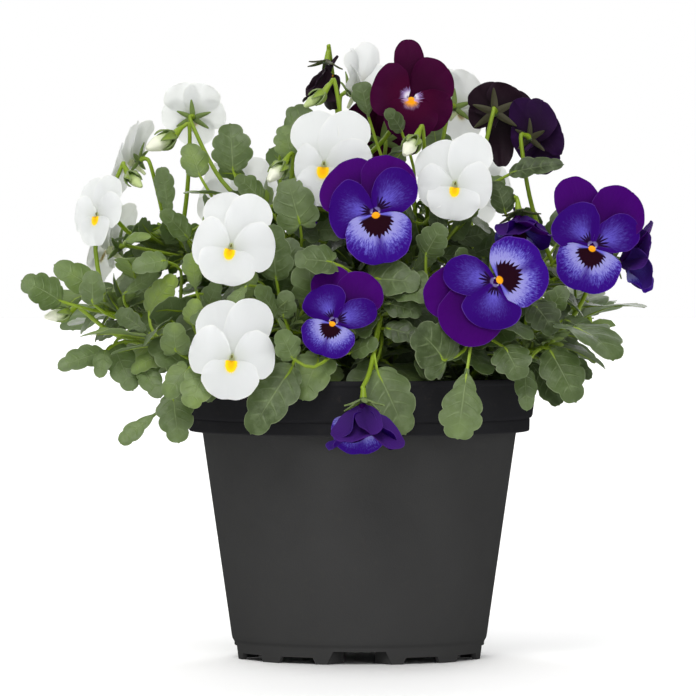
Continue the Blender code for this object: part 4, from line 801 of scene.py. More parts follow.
def try_leaf(plan, stand, blade, keys=None, free=True, reach_most=60.0):
    fat_blade = plain_blade(dict(blade, petiole=None), CLEAR)
    if free and not faces_clear(plan, fat_blade[0]):
        return False
    if not stand.clear("none", fat_blade):
        return False
    spots = []
    for key, shoot in plan["shoots"].items():
        if keys and key not in keys:
            continue
        for t in shoot["free"]:
            p, run = stem_point(shoot["stem"], t)
            gap = blade["base"] - p
            reach = float(np.linalg.norm(gap))
            if 4.0 < reach < reach_most:
                cost = reach - 8 * float(unit(gap) @ blade["e"]) + 1.2 * len(shoot["leaves"])
                spots.append((cost, key, t, p, run))
    spots.sort(key=lambda s: s[0])
    for cost, key, t, p, run in spots[:LEAF_TRIES]:
        for bow in (0.3, 0.55):
            blade["petiole"] = leaf_stalk(blade, p, run, bow)
            fat = plain_blade(blade, CLEAR)
            if stand.clear(key, fat) and faces_clear(plan, fat[0][-9:]):
                plan["shoots"][key]["free"].remove(t)
                plan["shoots"][key]["leaves"].append(blade)
                stand.add(key, plain_blade(blade), "stalk")
                stand.add(key, plain_blade(dict(blade, petiole=None)), "blade")
                return True
    return False


def leaf_shape(rnd, width):
    return {"sag": rnd.uniform(0.04, 0.1) * width, "fold": rnd.uniform(-0.04, 0.16),
            "ripple": rnd.uniform(0.03, 0.07) * width, "waves": rnd.uniform(1.0, 1.8),
            "phase": rnd.uniform(0, FULL_TURN), "curl": -rnd.uniform(0.02, 0.12) * width,
            "tone": rnd.uniform(0, 1)}


def place_read_leaf(plan, stand, spot, rnd):
    (x0, z0), (x1, z1), width, y0, y1, profile, teeth = spot
    shape = leaf_shape(rnd, width)
    for dy in LEAF_SHIFTS:
        for turn in (0, 0.25, -0.25):
            base, tip = seen_at(x0, y0 + dy, z0), seen_at(x1, y1 + dy, z1)
            face = vec(0.12 * (x0 > 20) - 0.12 * (x0 < -60) + turn, -1, 0.55 + 0.3 * (z0 > 150))
            blade = make_blade(base, tip, face, width, profile, teeth, **shape)
            if try_leaf(plan, stand, blade, free=False):
                return


def fill_leaves(plan, stand, rnd):
    # Leaves by rule: up each stem by the golden angle, larger and drooping low on the mound.
    made = {key: 0 for key in plan["shoots"]}
    for step in range(RULE_STEPS):
        for number, (key, shoot) in enumerate(plan["shoots"].items()):
            front = shoot["stem"][-1][1] < -10
            if made[key] >= (RULE_FRONT if front else RULE_BACK):
                continue
            t = 0.98 - 0.72 * (step * 5 % RULE_STEPS) / (RULE_STEPS - 1)
            p = stem_point(shoot["stem"], t)[0]
            for trial in range(9):
                turn = GOLDEN_ANGLE * (step + trial * 0.37) + number + rnd.uniform(-0.4, 0.4)
                out = vec(math.cos(turn), math.sin(turn), 0)
                far = math.hypot(p[0], p[1])
                away = vec(p[0], p[1], 0) / max(far, 1)
                low = (150 - p[2]) / 70
                lean = unit(out + away * (0.25 + 0.8 * min(far / 60, 1))
                            + vec(0, 0, 0.45 - 0.35 * low))
                size = rnd.uniform(17, 26) * (1.0 + (0.1 if front else 0.2) * low)
                base = p + unit(lean + vec(0, 0, 0.35)) * rnd.uniform(7, 15 + 6 * low)
                tip = base + unit(lean - vec(0, 0, rnd.uniform(0.1, 0.7))) * size
                if (not TIP_LEFT < tip[0] < TIP_RIGHT or abs(tip[1]) > TIP_DEEP
                        or not TIP_LOW < tip[2] < TIP_HIGH):
                    continue
                kind = rnd.choice(["round", "oval", "oval", "spoon"] if low < 0.3 else
                                  ["round", "round", "oval", "oval"])
                wide = size * {"round": 0.92, "oval": 0.64, "spoon": 0.52}[kind]
                face = unit(vec(0, 0, 1) + (0.3 + 0.5 * low) * unit(lean * vec(1, 1, 0)))
                blade = make_blade(base, tip, face, wide, kind, 4, plain_teeth=2,
                                   **leaf_shape(rnd, wide))
                if try_leaf(plan, stand, blade, keys=[key]):
                    made[key] += 1
                    break


# Fine shapes

LEAF_COLUMNS = 4
PETAL_COLUMNS = 6
LEAF_SKIN = 0.34
PETAL_SKIN = 0.24
# Above this angle between two faces an edge is sharp
PLANT_SHARP = 48
# One wave, in radians
WAVE = 6.283
MORE_LEAVES = 470
STEM_TUFTS = 6
# Half sizes of the mound that the small leaves stay in, and where it starts
MOUND_LEFT = 106
MOUND_RIGHT = 94
MOUND_DEPTH = 86
MOUND_FOOT = 88
MOUND_TALL = 110
MOUND_TALL_RIGHT = 126
# How purple a near-black flower is, from 0 to 1
TINTS = {"dark_1": 0.1, "dark_2": 0.2, "dark_3": 0.9}


def linked(name, data):
    made = bpy.data.objects.new(name, data)
    bpy.context.scene.collection.objects.link(made)
    return made


class Skin:
    # Gathers grids and tubes into one mesh, with a number for each mark at every corner.
    def __init__(self):
        self.verts, self.faces, self.slots, self.marks, self.count = [], [], [], [], 0

    def add(self, verts, faces, slot, **marks):
        verts = np.asarray(verts, float).reshape(-1, 3)
        self.faces += [[i + self.count for i in f] for f in faces]
        self.slots += [slot] * len(faces)
        self.verts.append(verts)
        self.marks.append((len(verts), marks))
        self.count += len(verts)

    def mark(self, name):
        parts = [np.broadcast_to(np.asarray(marks.get(name, 0.0), float).ravel(), (n,))
                 for n, marks in self.marks]
        return np.concatenate(parts).astype(np.float32)

    def build(self, name, nodes, slot, materials):
        placed = (np.concatenate(self.verts) + vec(AXIS_X, AXIS_Y, 0)) * MM
        placed = np.clip(placed, np.array(cad_low), np.array(cad_high))
        mesh = bpy.data.meshes.new(name)
        mesh.from_pydata(placed.tolist(), [], self.faces)
        for finish in materials:
            mesh.materials.append(finish)
        mesh.polygons.foreach_set("material_index", self.slots)
        for mark in sorted({m for _, marks in self.marks for m in marks}):
            mesh.attributes.new(mark, "FLOAT", "POINT").data.foreach_set("value", self.mark(mark))
        mesh.shade_smooth()
        mesh.set_sharp_from_angle(angle=math.radians(PLANT_SHARP))
        made = linked(name, mesh)
        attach(made, "root")
        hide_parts(*nodes)


def grid_faces(rows, columns, wrap=False):
    i = np.arange(rows - 1)[:, None] * columns
    j = np.arange(columns if wrap else columns - 1)[None]
    k = (j + 1) % columns
    return np.stack([i + j, i + k, i + columns + k, i + columns + j], axis=-1).reshape(-1, 4)


def sheet(skin, grid, out, thick, slot, **marks):
    # A grid of points as a thin closed skin; out is roughly the way that its upper face looks.
    rows, columns = grid.shape[:2]
    normal = np.cross(np.gradient(grid, axis=0), np.gradient(grid, axis=1))
    faces_out = float((normal * out).sum()) > 0
    size = np.linalg.norm(normal, axis=2, keepdims=True)
    way = 1.0 if faces_out else -1.0
    normal = np.where(size > 1e-6, way * normal / np.maximum(size, 1e-9), out)
    thick = np.broadcast_to(np.asarray(thick, float), (rows, columns))[..., None]
    verts = np.concatenate([(grid + normal * thick / 2).reshape(-1, 3),
                            (grid - normal * thick / 2).reshape(-1, 3)])
    top = grid_faces(rows, columns)
    under = rows * columns
    at = np.arange(under).reshape(rows, columns)
    ring = np.concatenate([at[0, :-1], at[:-1, -1], at[-1, :0:-1], at[:0:-1, 0]])
    after = np.roll(ring, -1)
    side = np.stack([ring, ring + under, after + under, after], axis=-1)
    faces = np.concatenate([top, top[:, ::-1] + under, side])
    if not faces_out:
        faces = faces[:, ::-1]
    for name, mark in marks.items():
        mark = np.broadcast_to(np.asarray(mark, float), (rows, columns)).ravel()
        marks[name] = np.concatenate([mark, mark])
    marks["under"] = np.concatenate([np.zeros(under), np.ones(under)])
    skin.add(verts, faces.tolist(), slot, **marks)


def tube(skin, points, radii, slot, sides=8, steps=5, ridge=0.0, **marks):
    # Round stem through points, with both ends closed.
    k = np.linspace(0, len(points) - 1, (len(points) - 1) * steps + 1)
    line, radii = curve_at(points, k), np.interp(k, range(len(radii)), radii)
    run = np.gradient(line, axis=0)
    side = np.cross(run[0], vec(0.31, 0.94, 0.12))
    turns = 2 * math.pi * np.arange(sides) / sides
    verts = []
    for p, r, way in zip(line, radii, run):
        way = unit(way)
        side = square_to(way, side)
        up = np.cross(way, side)
        wide = r * (1 + ridge * np.cos(5 * turns))[:, None]
        verts.append(p + wide * (np.cos(turns)[:, None] * side + np.sin(turns)[:, None] * up))
    faces = grid_faces(len(line), sides, wrap=True).tolist()
    last = (len(line) - 1) * sides
    faces += [list(range(sides))[::-1], list(range(last, last + sides))]
    if "along" not in marks:
        marks["along"] = np.repeat(k / k[-1], sides)
    skin.add(np.concatenate(verts), faces, slot, **marks)


def blade_grid(blade, q, columns, reach, arch, uneven=None):
    # Rows run from the rib out to the edge, leaning forward as the veins do.
    edge = toothed(blade, q)
    edge[0, 1] = max(edge[0, 1], 0.35)
    edge[-1, 1] = 0.0
    foot = np.clip(edge[:, 0] - reach * edge[:, 1], 0, 0.985 * blade["length"])
    foot = np.maximum.accumulate(foot)[:, None]
    c = np.linspace(-1, 1, 2 * columns + 1)
    c = np.sign(c) * np.abs(c) ** 0.85
    a = np.abs(c)
    x = foot + (edge[:, :1] - foot) * a - arch * edge[:, 1:] * np.sin(math.pi * a)
    y = edge[:, 1:] * c
    if uneven is not None:
        y = y * np.where(c > 0, uneven[0][:, None], uneven[1][:, None])
    grid = on_blade(blade, x.ravel(), y.ravel()).reshape(len(q), len(c), 3)
    return grid, x, y, np.broadcast_to(a, x.shape)


def fine_leaf(skin, blade, slot):
    teeth = blade["teeth"]
    inner = blade.get("extra", False)
    steps, columns = (3, 2) if inner else (6, LEAF_COLUMNS)
    q = np.concatenate([[0, 0.03, 0.065], 0.1 + 0.86 * np.linspace(0, 1, steps * teeth + 1),
                        [0.975, 0.988, 1.0]])
    phase = np.clip((q - 0.1) / 0.86, 0, 1) * teeth
    notch_at = np.abs(phase - np.round(phase)) / 0.15
    cut = 1 - 0.07 * np.exp(-notch_at ** 2) * ((q > 0.2) & (q < 0.93))
    grid, x, _, a = blade_grid(blade, q, columns, 0.72, 0.1, (cut, cut))
    vein = phase[:, None]
    calm = np.clip((0.86 - q[:, None]) / 0.2, 0, 1)
    quilt = 0.021 * blade["width"] * np.cos(2 * math.pi * (vein - 0.5)) * a * (1 - a ** 3) * calm
    furrow = 0.027 * blade["width"] * np.exp(-(a / 0.12) ** 2) * calm
    lift = blade.get("lift", 0.0) * blade["width"] * a ** 2.5
    grid = grid - blade["n"] * (quilt + furrow - lift)[..., None]
    # Painted shade over each leaf's own random tone: leaves are darker the further right their foot
    # lies, and the small leaves inside the mound darker still.
    tone = blade["tone"] * 0.8 + 0.1 - 0.005 * max(float(blade["base"][0]), -60.0)
    tone = max(tone - (0.13 if inner else 0.0), -0.04)
    sheet(skin, grid, blade["n"], LEAF_SKIN * (1 - 0.6 * a ** 6), slot, along=x / blade["length"],
          across=a, vein=vein * 2 + 0 * a, tone=tone)


def fine_petiole(skin, blade, slot, tone):
    # The stalk runs on under the leaf as its rib.
    length = blade["length"]
    rib = on_blade(blade, vec(0.03, 0.22, 0.5, 0.85) * length, np.zeros(4))
    rib = rib - blade["n"] * vec(0.45, 0.62, 0.5, 0.35)[:, None]
    points = np.concatenate([blade["petiole"][:-1], rib])
    radii = list(np.linspace(0.78, 0.6, len(points) - 4)) + [0.52, 0.36, 0.24, 0.08]
    sides, steps = (5, 2) if blade.get("extra") else (6, 3)
    tube(skin, points, radii, slot, sides=sides, steps=steps, tone=tone)


def fine_petal(skin, blade, rnd, slot):
    q = np.concatenate([np.linspace(0, 0.94, 20), [0.965, 0.985, 1.0]])
    size, length, wide = blade["size"], blade["length"], blade["width"]
    # Each side's outline wanders by a slow and a quick wave.
    uneven = []
    for _ in range(2):
        slow, slow_from = rnd.uniform(1.2, 2.2), rnd.uniform(0, FULL_TURN)
        quick, quick_from = rnd.uniform(4, 6), rnd.uniform(0, FULL_TURN)
        uneven.append(1 + 0.028 * np.sin(WAVE * slow * q + slow_from)
                      + 0.015 * np.sin(WAVE * quick * q + quick_from))
    grid, x, y, a = blade_grid(blade, q, PETAL_COLUMNS, 0.95, 0.0, uneven)
    frill = np.zeros_like(a)
    for share, speed in ((0.75, rnd.uniform(1.6, 2.4)), (0.3, rnd.uniform(3.6, 5.0))):
        frill = frill + share * np.sin(2 * math.pi * (speed * q[:, None] + (y > 0) * 0.37)
                                       + rnd.uniform(0, FULL_TURN))
    crease = np.exp(-(y / (0.07 * wide)) ** 2) * np.clip(x / length - 0.25, 0, 0.5)
    deep = 1.1 if blade["profile"] == "lip" else 0.5
    grid = grid + blade["n"] * (size * (0.5 * a ** 3.5 * frill - deep * crease))[..., None]
    sheet(skin, grid, blade["n"], PETAL_SKIN * (1 - 0.6 * a ** 6), slot, along=x / length,
          across=y / length, rim=a, layer=blade["layer"], tint=blade["tint"])


def lump(skin, middle, axes, radii, slot, **marks):
    # Small rounded body on three axes.
    rings, sides = 6, 8
    turns = np.linspace(0, 2 * math.pi, sides + 1)[:-1]
    rows = np.linspace(0.12, math.pi - 0.12, rings)
    ring = np.stack([np.outer(np.sin(rows), np.cos(turns)), np.outer(np.sin(rows), np.sin(turns)),
                     np.outer(np.cos(rows), np.ones(sides))], axis=-1) * radii
    verts = middle + ring.reshape(-1, 3) @ np.array(axes)
    last = (rings - 1) * sides
    faces = grid_faces(rings, sides, wrap=True)[:, ::-1].tolist()
    faces += [list(range(sides)), list(range(last, last + sides))[::-1]]
    skin.add(verts, faces, slot, **marks)


def slimmer(blade, bloom):
    # A flower folded up as it withers: its petals drawn in to its axis and hanging further down.
    f = bloom["f"]
    reach = blade["tip"] - blade["base"]
    along = f * float(reach @ f)
    tip = blade["base"] + along * 1.2 + (reach - along) * 0.45
    return dict(make_blade(blade["base"], tip, blade["n"], blade["width"] * 0.72, blade["profile"],
                           sag=0.06 * blade["width"], fold=-0.3, curl=-0.12 * blade["width"]),
                **{k: blade[k] for k in ("size", "layer")})


def fuller(blade, bloom):
    # The spent flower that hangs over the pot's rim: longer, wider petals, drawn down a little.
    tip = blade["base"] + (blade["tip"] - blade["base"]) * 1.2 + bloom["f"] * 1.4 * bloom["size"]
    kept = ("size", "layer", "ripple", "waves", "fold", "curl", "sag", "phase")
    return make_blade(blade["base"], tip, blade["n"], blade["width"] * 1.15, blade["profile"],
                      **{k: blade[k] for k in kept})


def fine_flower(skin, bloom, rnd):
    # Slot 0 is petal and slot 1 is eye.
    f, size, eye = bloom["f"], bloom["size"], bloom["eye"]
    tint = TINTS.get(bloom["name"], rnd.random())
    for blade in bloom["petals"]:
        if bloom["name"] == "dark_1":
            blade = slimmer(blade, bloom)
        elif bloom["name"] == "blue_6":
            blade = fuller(blade, bloom)
        fine_petal(skin, dict(blade, tint=tint), rnd, 0)
    (front, back), _ = bloom["core"]
    tube(skin, [front - f * 1.9 * size, (front + back) / 2, back],
         [0.6 * size, 1.7 * size, 2.0 * size], 0, steps=2, along=0.3, layer=5, tint=tint)
    points, radii = bloom["spur"]
    tube(skin, points, [r * 0.95 for r in radii], 0, steps=4, along=0.5, layer=5, tint=tint,
         under=1)
    if bloom["wilted"]:
        return
    lip = square_to(f, bloom["petals"][4]["e"])
    over = np.cross(f, lip)
    axes = (over, lip, f)
    if bloom["hue"] == "white":
        lump(skin, eye - lip * 0.5 * size + f * 0.6 * size, axes, vec(0.35, 0.7, 0.4) * size, 1,
             part=2.0)
        return
    for s in (-1, 1):
        lump(skin, eye + (over * 1.35 * s + lip * 0.1 + f * 0.35) * size, axes,
             vec(0.3, 0.5, 0.1) * size, 1, part=0.0)
    lump(skin, eye + (lip * 0.85 + f * 0.95) * size, axes, vec(1.35, 0.85, 0.28) * size, 1,
         part=1.0)


def fine_calyx(skin, flower):
    f, seat, size = flower["f"], flower["seat"], flower["size"]
    bud = "tips" in flower
    dull = flower["hue"] == "dark" or flower["name"] == "blue_5"
    droop = f * (3.6 if flower.get("wilted") else 0.0) * size
    if not bud:
        tube(skin, [seat - f * 1.2 * size, seat, seat + f * 1.5 * size],
             [0.7 * size, 1.7 * size, 1.6 * size], 0, steps=3, tone=0.2, along=0.6, across=0.5,
             vein=0)
    tone = -0.4 if dull else 1.15
    for blade in flower["sepals"]:
        if bud:
            # The sepals of a bud lie close round it.
            out = square_to(f, blade["tip"] - flower["eye"])
            tip = blade["tip"] + (f * 1.0 - out * 1.7) * size
            blade = make_blade(blade["base"], tip, out, 3.2 * size, "sepal", sag=1.3 * size)
        else:
            blade = make_blade(blade["base"], blade["tip"] + droop, f, 0.9 * blade["width"],
                               "sepal", curl=-0.5 * size)
        grid, x, _, a = blade_grid(blade, np.linspace(0, 1, 8), 2, 0.3, 0.0)
        grid = grid - blade["n"] * (0.3 * size * (1 - a ** 2))[..., None] + blade["n"] * 0.2
        sheet(skin, grid, blade["n"], 0.4, 0, tone=tone, across=a, vein=np.zeros_like(a),
              along=0.3 + 0.6 * x / blade["length"])


def tuft(skin, at, run, out, rnd, size, count=4):
    # Leafy stipules in the angle of a leaf or a flower stalk.
    q = np.concatenate([[0], 0.1 + 0.84 * np.linspace(0, 1, 5), [0.985, 1.0]])
    for _ in range(count):
        turn = rnd.uniform(-1, 1) * 1.1
        way = unit(unit(out + np.cross(run, out) * turn) + run * rnd.uniform(0.3, 1.4))
        base = at + way * 0.8
        length = rnd.uniform(5.0, 12.5) * size
        blade = make_blade(base, base + way * length, run + 0.4 * out,
                           length * rnd.uniform(0.26, 0.42), "spoon", 2, sag=0.06 * length,
                           curl=-0.12 * length, fold=0.2, tone=rnd.uniform(0.8, 1.4))
        grid, x, _, a = blade_grid(blade, q, 1, 0.5, 0.0)
        sheet(skin, grid, blade["n"], 0.3 * (1 - 0.5 * a ** 4), 0, along=x / length, across=a,
              vein=np.zeros_like(a), tone=blade["tone"])


def fine_bud(skin, bud):
    points, radii = bud["tips"]
    plump = 1.14 if bud["hue"] == "white" else 1.02
    tube(skin, points, [r * plump for r in radii], 0, sides=12, steps=6, tint=0.5,
         ridge=0.07 if bud["hue"] != "green" else 0.03)


def more_leaves(plan, rnd):
    # Small leaves by rule among the ones of the solids, well inside the mound, facing out of it.
    stand, made = plan["stand"], 0
    for shoot in plan["shoots"].values():
        shoot["free"] = list(np.linspace(0.1, 0.97, 90))
    keys = list(plan["shoots"])
    for trial in range(MORE_LEAVES * 10):
        if made >= MORE_LEAVES:
            break
        key = keys[trial % len(keys)]
        high = trial % 3 == 0
        p = stem_point(plan["shoots"][key]["stem"], rnd.uniform(0.6 if high else 0.1, 0.97))[0]
        out = unit(vec(p[0] + rnd.uniform(-45, 45), p[1] + rnd.uniform(-45, 45), 0))
        over = vec(-out[1], out[0], 0) * rnd.uniform(-1, 1)
        size = rnd.uniform(11, 20) * (1.25 if p[2] < 120 else 1.0)
        rise = rnd.uniform(0.4, 2.0) if high else rnd.uniform(-0.1, 0.9)
        way = unit(out + over + vec(0, 0, rise))
        base = p + way * rnd.uniform(5, 32 if high else 18)
        tip = base + unit(out * 0.45 + over + vec(0, 0, rnd.uniform(-0.9, 0.9))) * size
        wide = MOUND_LEFT if tip[0] < 0 else MOUND_RIGHT
        tall = MOUND_TALL if tip[0] < 25 else MOUND_TALL_RIGHT
        up = tip[2] - MOUND_FOOT
        if (tip[0] / wide) ** 2 + (tip[1] / MOUND_DEPTH) ** 2 + (up / tall) ** 2 > 1 or up < 0:
            continue
        kind = rnd.choice(["round", "oval", "oval", "spoon"])
        width = size * {"round": 0.9, "oval": 0.64, "spoon": 0.5}[kind]
        face = unit(vec(0, 0, 0.6) + out)
        blade = make_blade(base, tip, face, width, kind, 4, extra=True, **leaf_shape(rnd, width))
        if try_leaf(plan, stand, blade, keys=[key], reach_most=46.0 if high else 34.0):
            made += 1


# Finishes

def linear(*levels):
    # A colour as seen on a screen, from 0 to 255, as light.
    values = [c / 255 for c in levels]
    lit = [v / 12.92 if v <= 0.04045 else ((v + 0.055) / 1.055) ** 2.4 for v in values]
    return (*lit, 1.0)


class Value:
    # One socket of a finish. Arithmetic on it adds Math nodes.
    def __init__(self, finish, socket):
        self.finish, self.socket = finish, socket

    def __add__(self, other):
        return self.finish.math("ADD", self, other)

    def __sub__(self, other):
        return self.finish.math("SUBTRACT", self, other)

    def __rsub__(self, other):
        return self.finish.math("SUBTRACT", other, self)

    def __mul__(self, other):
        return self.finish.math("MULTIPLY", self, other)

    def __truediv__(self, other):
        return self.finish.math("DIVIDE", self, other)

    def __rtruediv__(self, other):
        return self.finish.math("DIVIDE", other, self)

    def __pow__(self, other):
        return self.finish.math("POWER", self, other)

    def __abs__(self):
        return self.finish.math("ABSOLUTE", self)

    __radd__, __rmul__ = __add__, __mul__


class Finish:
    # A material and the nodes that make it.
    def __init__(self, name):
        self.material = bpy.data.materials.new(name)
        self.material.use_nodes = True
        self.tree = self.material.node_tree
        self.tree.nodes.clear()

    def node(self, kind, settings, sockets, out=0):
        made = self.tree.nodes.new("ShaderNode" + kind)
        for key, value in settings.items():
            if key == "stops":
                for stop in value[2:]:
                    made.color_ramp.elements.new(stop[0])
                for element, stop in zip(made.color_ramp.elements, sorted(value)):
                    element.position, element.color = stop
            else:
                setattr(made, key, value)
        for key, value in sockets.items():
            if isinstance(value, Value):
                self.tree.links.new(value.socket, made.inputs[key])
            else:
                made.inputs[key].default_value = value
        return Value(self, made.outputs[out])

    def math(self, operation, *values):
        return self.node("Math", {"operation": operation}, dict(enumerate(values)))

    def marks(self, *names):
        return [self.node("Attribute", {"attribute_name": name}, {}, "Fac") for name in names]

    def ease(self, value, low, high):
        # 0 at low and 1 at high, with soft ends.
        return self.node("MapRange", {"interpolation_type": "SMOOTHSTEP"},
                         {"Value": value, "From Min": low, "From Max": high})

    def rays(self, angle, spacing):
        # 1 along each ray and 0 half way between two.
        return self.math("PINGPONG", angle + 10 * spacing, spacing / 2) / (spacing / 2)

    def mix(self, share, a, b):
        # Each colour is a value, or levels from 0 to 255.
        a, b = (c if isinstance(c, Value) else linear(*c) for c in (a, b))
        return self.node("Mix", {"data_type": "RGBA"}, {0: share, 6: a, 7: b}, 2)

    def coats(self, colour, *coats):
        # Each coat is the share that it covers, and its colour.
        for share, coat in coats:
            colour = self.mix(share, colour, coat)
        return colour

    def ramp(self, value, first, last, *between):
        stops = [(at, linear(*colour)) for at, colour in (first, last, *between)]
        return self.node("ValToRGB", {"stops": stops}, {"Fac": value})

    def place(self):
        return self.node("TexCoord", {}, {}, "Object")

    def cloud(self, scale, detail=2.0, rough=0.5, where=None):
        where = where if where else self.place()
        return self.node("TexNoise", {}, {"Vector": where, "Scale": scale, "Detail": detail,
                                          "Roughness": rough})

    def bump(self, height, strength, reach=0.0003):
        return self.node("Bump", {}, {"Strength": strength, "Distance": reach, "Height": height})

    def surface(self, colour, rough, more, glow=None, share=0.0):
        # glow is the colour of the light that comes through from behind, and share how much.
        shown = self.node("BsdfPrincipled", {}, {"Base Color": colour, "Roughness": rough, **more})
        if glow:
            through = self.node("BsdfTranslucent", {}, {"Color": linear(*glow)})
            shown = self.node("MixShader", {}, {0: share, 1: shown, 2: through})
        end = self.tree.nodes.new("ShaderNodeOutputMaterial")
        self.tree.links.new(shown.socket, end.inputs["Surface"])
        return self.material


class Petal(Finish):
    # What all petals are painted by: reach from the eye, angle, which petal it is, and noise.
    def __init__(self, name):
        super().__init__(name)
        along, across, layer, tint = self.marks("along", "across", "layer", "tint")
        self.rim, self.under = self.marks("rim", "under")
        self.along, self.across, self.layer, self.tint = along, across, layer, tint
        self.reach = self.math("SQRT", along * along + across * across)
        self.angle = self.math("ARCTAN2", across, along)
        self.lip = self.math("COMPARE", layer, 4.0, 0.25)
        self.side = self.math("COMPARE", layer, 2.5, 0.6)
        seed = tint * 9.0 + layer * 3.7
        self.wobble = self.cloud(1.6, 2.0, where=self.at(self.angle * 5.0, seed, 0.0))
        self.speck = self.cloud(3.0, 3.0, 0.65, self.at(self.angle * 9.0, self.reach * 4.0, seed))
        self.grain = self.cloud(1400.0)

    def at(self, x, y, z):
        return self.node("CombineXYZ", {}, {0: x, 1: y, 2: z})

    def skin(self, colour, rough, bump, shine, sheen, glow=None, share=0.0, fuzz=0.5):
        more = {"Normal": bump, "Specular IOR Level": shine, "Sheen Weight": sheen,
                "Sheen Roughness": fuzz}
        return self.surface(colour, rough + self.grain * 0.2, more, glow, share)


def leaf_finish():
    f = Finish("leaf")
    along, across, tone, under = f.marks("along", "across", "tone", "under")
    cloud, patch, grain = f.cloud(90.0, 3.0), f.cloud(330.0, 3.0, 0.6), f.cloud(1100.0)
    green = f.ramp(tone * 0.85 + cloud * 0.56 - 0.27, (0.0, (40, 52, 16)), (1.0, (148, 174, 56)),
                   (0.22, (60, 76, 32)), (0.45, (84, 102, 52)), (0.7, (112, 133, 74)),
                   (0.85, (134, 156, 78)))
    vein_at = abs(f.math("FRACT", f.marks("vein")[0]) - 0.5)
    vein = f.ease(vein_at, 0.07 / (across + 0.22), 0.0) * f.ease(across, 0.92, 0.5)
    vein = vein * f.ease(along, 0.9, 0.7) * f.ease(across, 0.0, 0.2)
    rib = f.ease(across, 0.06, 0.0) * f.ease(along, 0.95, 0.4)
    green = f.coats(
        green,
        (f.ease(across, 0.3, 0.85) * 0.3, (72, 90, 46)),
        (f.ease(patch, 0.42, 0.68) * 0.26, (134, 152, 108)),
        (vein * 0.3, (148, 168, 112)),
        (rib * 0.52, (158, 176, 120)),
        (f.ease(across, 0.95, 1.0) * 0.5, (158, 170, 128)),
        (f.ease(along + across * 0.4, 0.22, 0.0) * 0.45, (128, 152, 62)),
        (under * 0.5, (124, 142, 96)),
        (grain * 0.25, (58, 74, 34)),
        # Withered sepals: dull olive
        (f.ease(tone, -0.1, -0.3), (62, 58, 36)))
    height = grain * 0.4 - vein * 0.5 - rib * 0.4 + cloud * 0.4 + patch * 0.4
    return f.surface(green, 0.37 + cloud * 0.22 + under * 0.2,
                     {"Normal": f.bump(height, 0.7, 0.0004), "Specular IOR Level": 0.5,
                      "Sheen Weight": 0.06}, (150, 190, 30), 0.22)


def stem_finish():
    f = Finish("stem")
    streak = f.cloud(160.0)
    green = f.ramp(f.marks("tone")[0] * 0.75 + streak * 0.5 - 0.12, (0.0, (88, 104, 20)),
                   (1.0, (168, 192, 74)), (0.5, (130, 156, 26)))
    return f.surface(green, 0.38 + streak * 0.2,
                     {"Normal": f.bump(streak, 0.25), "Specular IOR Level": 0.45},
                     (160, 200, 30), 0.16)


def blue_finish():
    f = Petal("violet-blue petal")
    reach, angle, lip, side, wobble = f.reach, f.angle, f.lip, f.side, f.wobble
    off, mottle = abs(angle), f.speck - 0.5
    # Standing petals: plain deep purple
    standing = f.mix(f.ease(reach + mottle * 0.3, 0.2, 1.05), (46, 0, 74), (62, 0, 100))
    # Side petals: lavender heart, violet edge, a few dark whiskers and a pale foot
    heart = f.ease(reach + mottle * 0.7, 0.84, 0.1) * f.ease(off + mottle * 0.5, 0.8, 0.08)
    whisker = 0.12 + f.rays(angle + wobble * 0.2, 0.3) ** 0.7 * (0.01 + wobble * 0.34)
    sideways = f.coats(
        f.mix(heart, (46, 2, 106), (96, 86, 192)),
        (f.ease(reach - whisker, 0.02, -0.02) * f.ease(off, 0.8, 0.55), (28, 4, 40)),
        (f.ease(reach, 0.085, 0.05) * 0.8, (120, 108, 164)))
    # Lip: dark blotch with spikes, a pale halo and a speckled violet edge
    lobes = f.ease(off + mottle * 0.24, 0.0, 0.3)
    halo = f.ease(reach + mottle * 0.8 + off * 0.05, 0.9, 0.5) * (0.15 + 0.85 * lobes)
    inner = (f.ease(reach + mottle * 0.6, 0.7, 0.44) * f.ease(reach, 0.2, 0.4)
             * (0.25 + 0.75 * lobes))
    blotch = 0.42 + f.rays(angle + wobble * 0.16, 0.2) ** 1.1 * (wobble - 0.2) * 0.3 - off * 0.1
    hanging = f.coats(
        f.mix(halo * f.ease(off, 1.9, 1.4), (50, 8, 124), (104, 98, 204)),
        (inner * 0.8, (152, 150, 206)),
        (f.ease(reach - blotch, 0.012, -0.012) * f.ease(off, 1.45, 1.2), (30, 1, 12)),
        (f.ease(reach, 0.1, 0.07), (246, 158, 10)))
    colour = f.coats(
        standing, (side, sideways), (lip, hanging),
        (f.ease(f.rim, 0.97, 1.0) * (0.2 + (side + lip) * 0.25), (120, 78, 180)),
        (f.under * 0.45, (66, 46, 120)))
    veins = f.rays(angle, 0.07) * f.ease(reach, 0.1, 0.4)
    return f.skin(colour, 0.56, f.bump(veins * 0.6 + f.grain * 0.4, 0.25, 0.00022), 0.05, 0.0,
                  (110, 10, 235), 0.08)


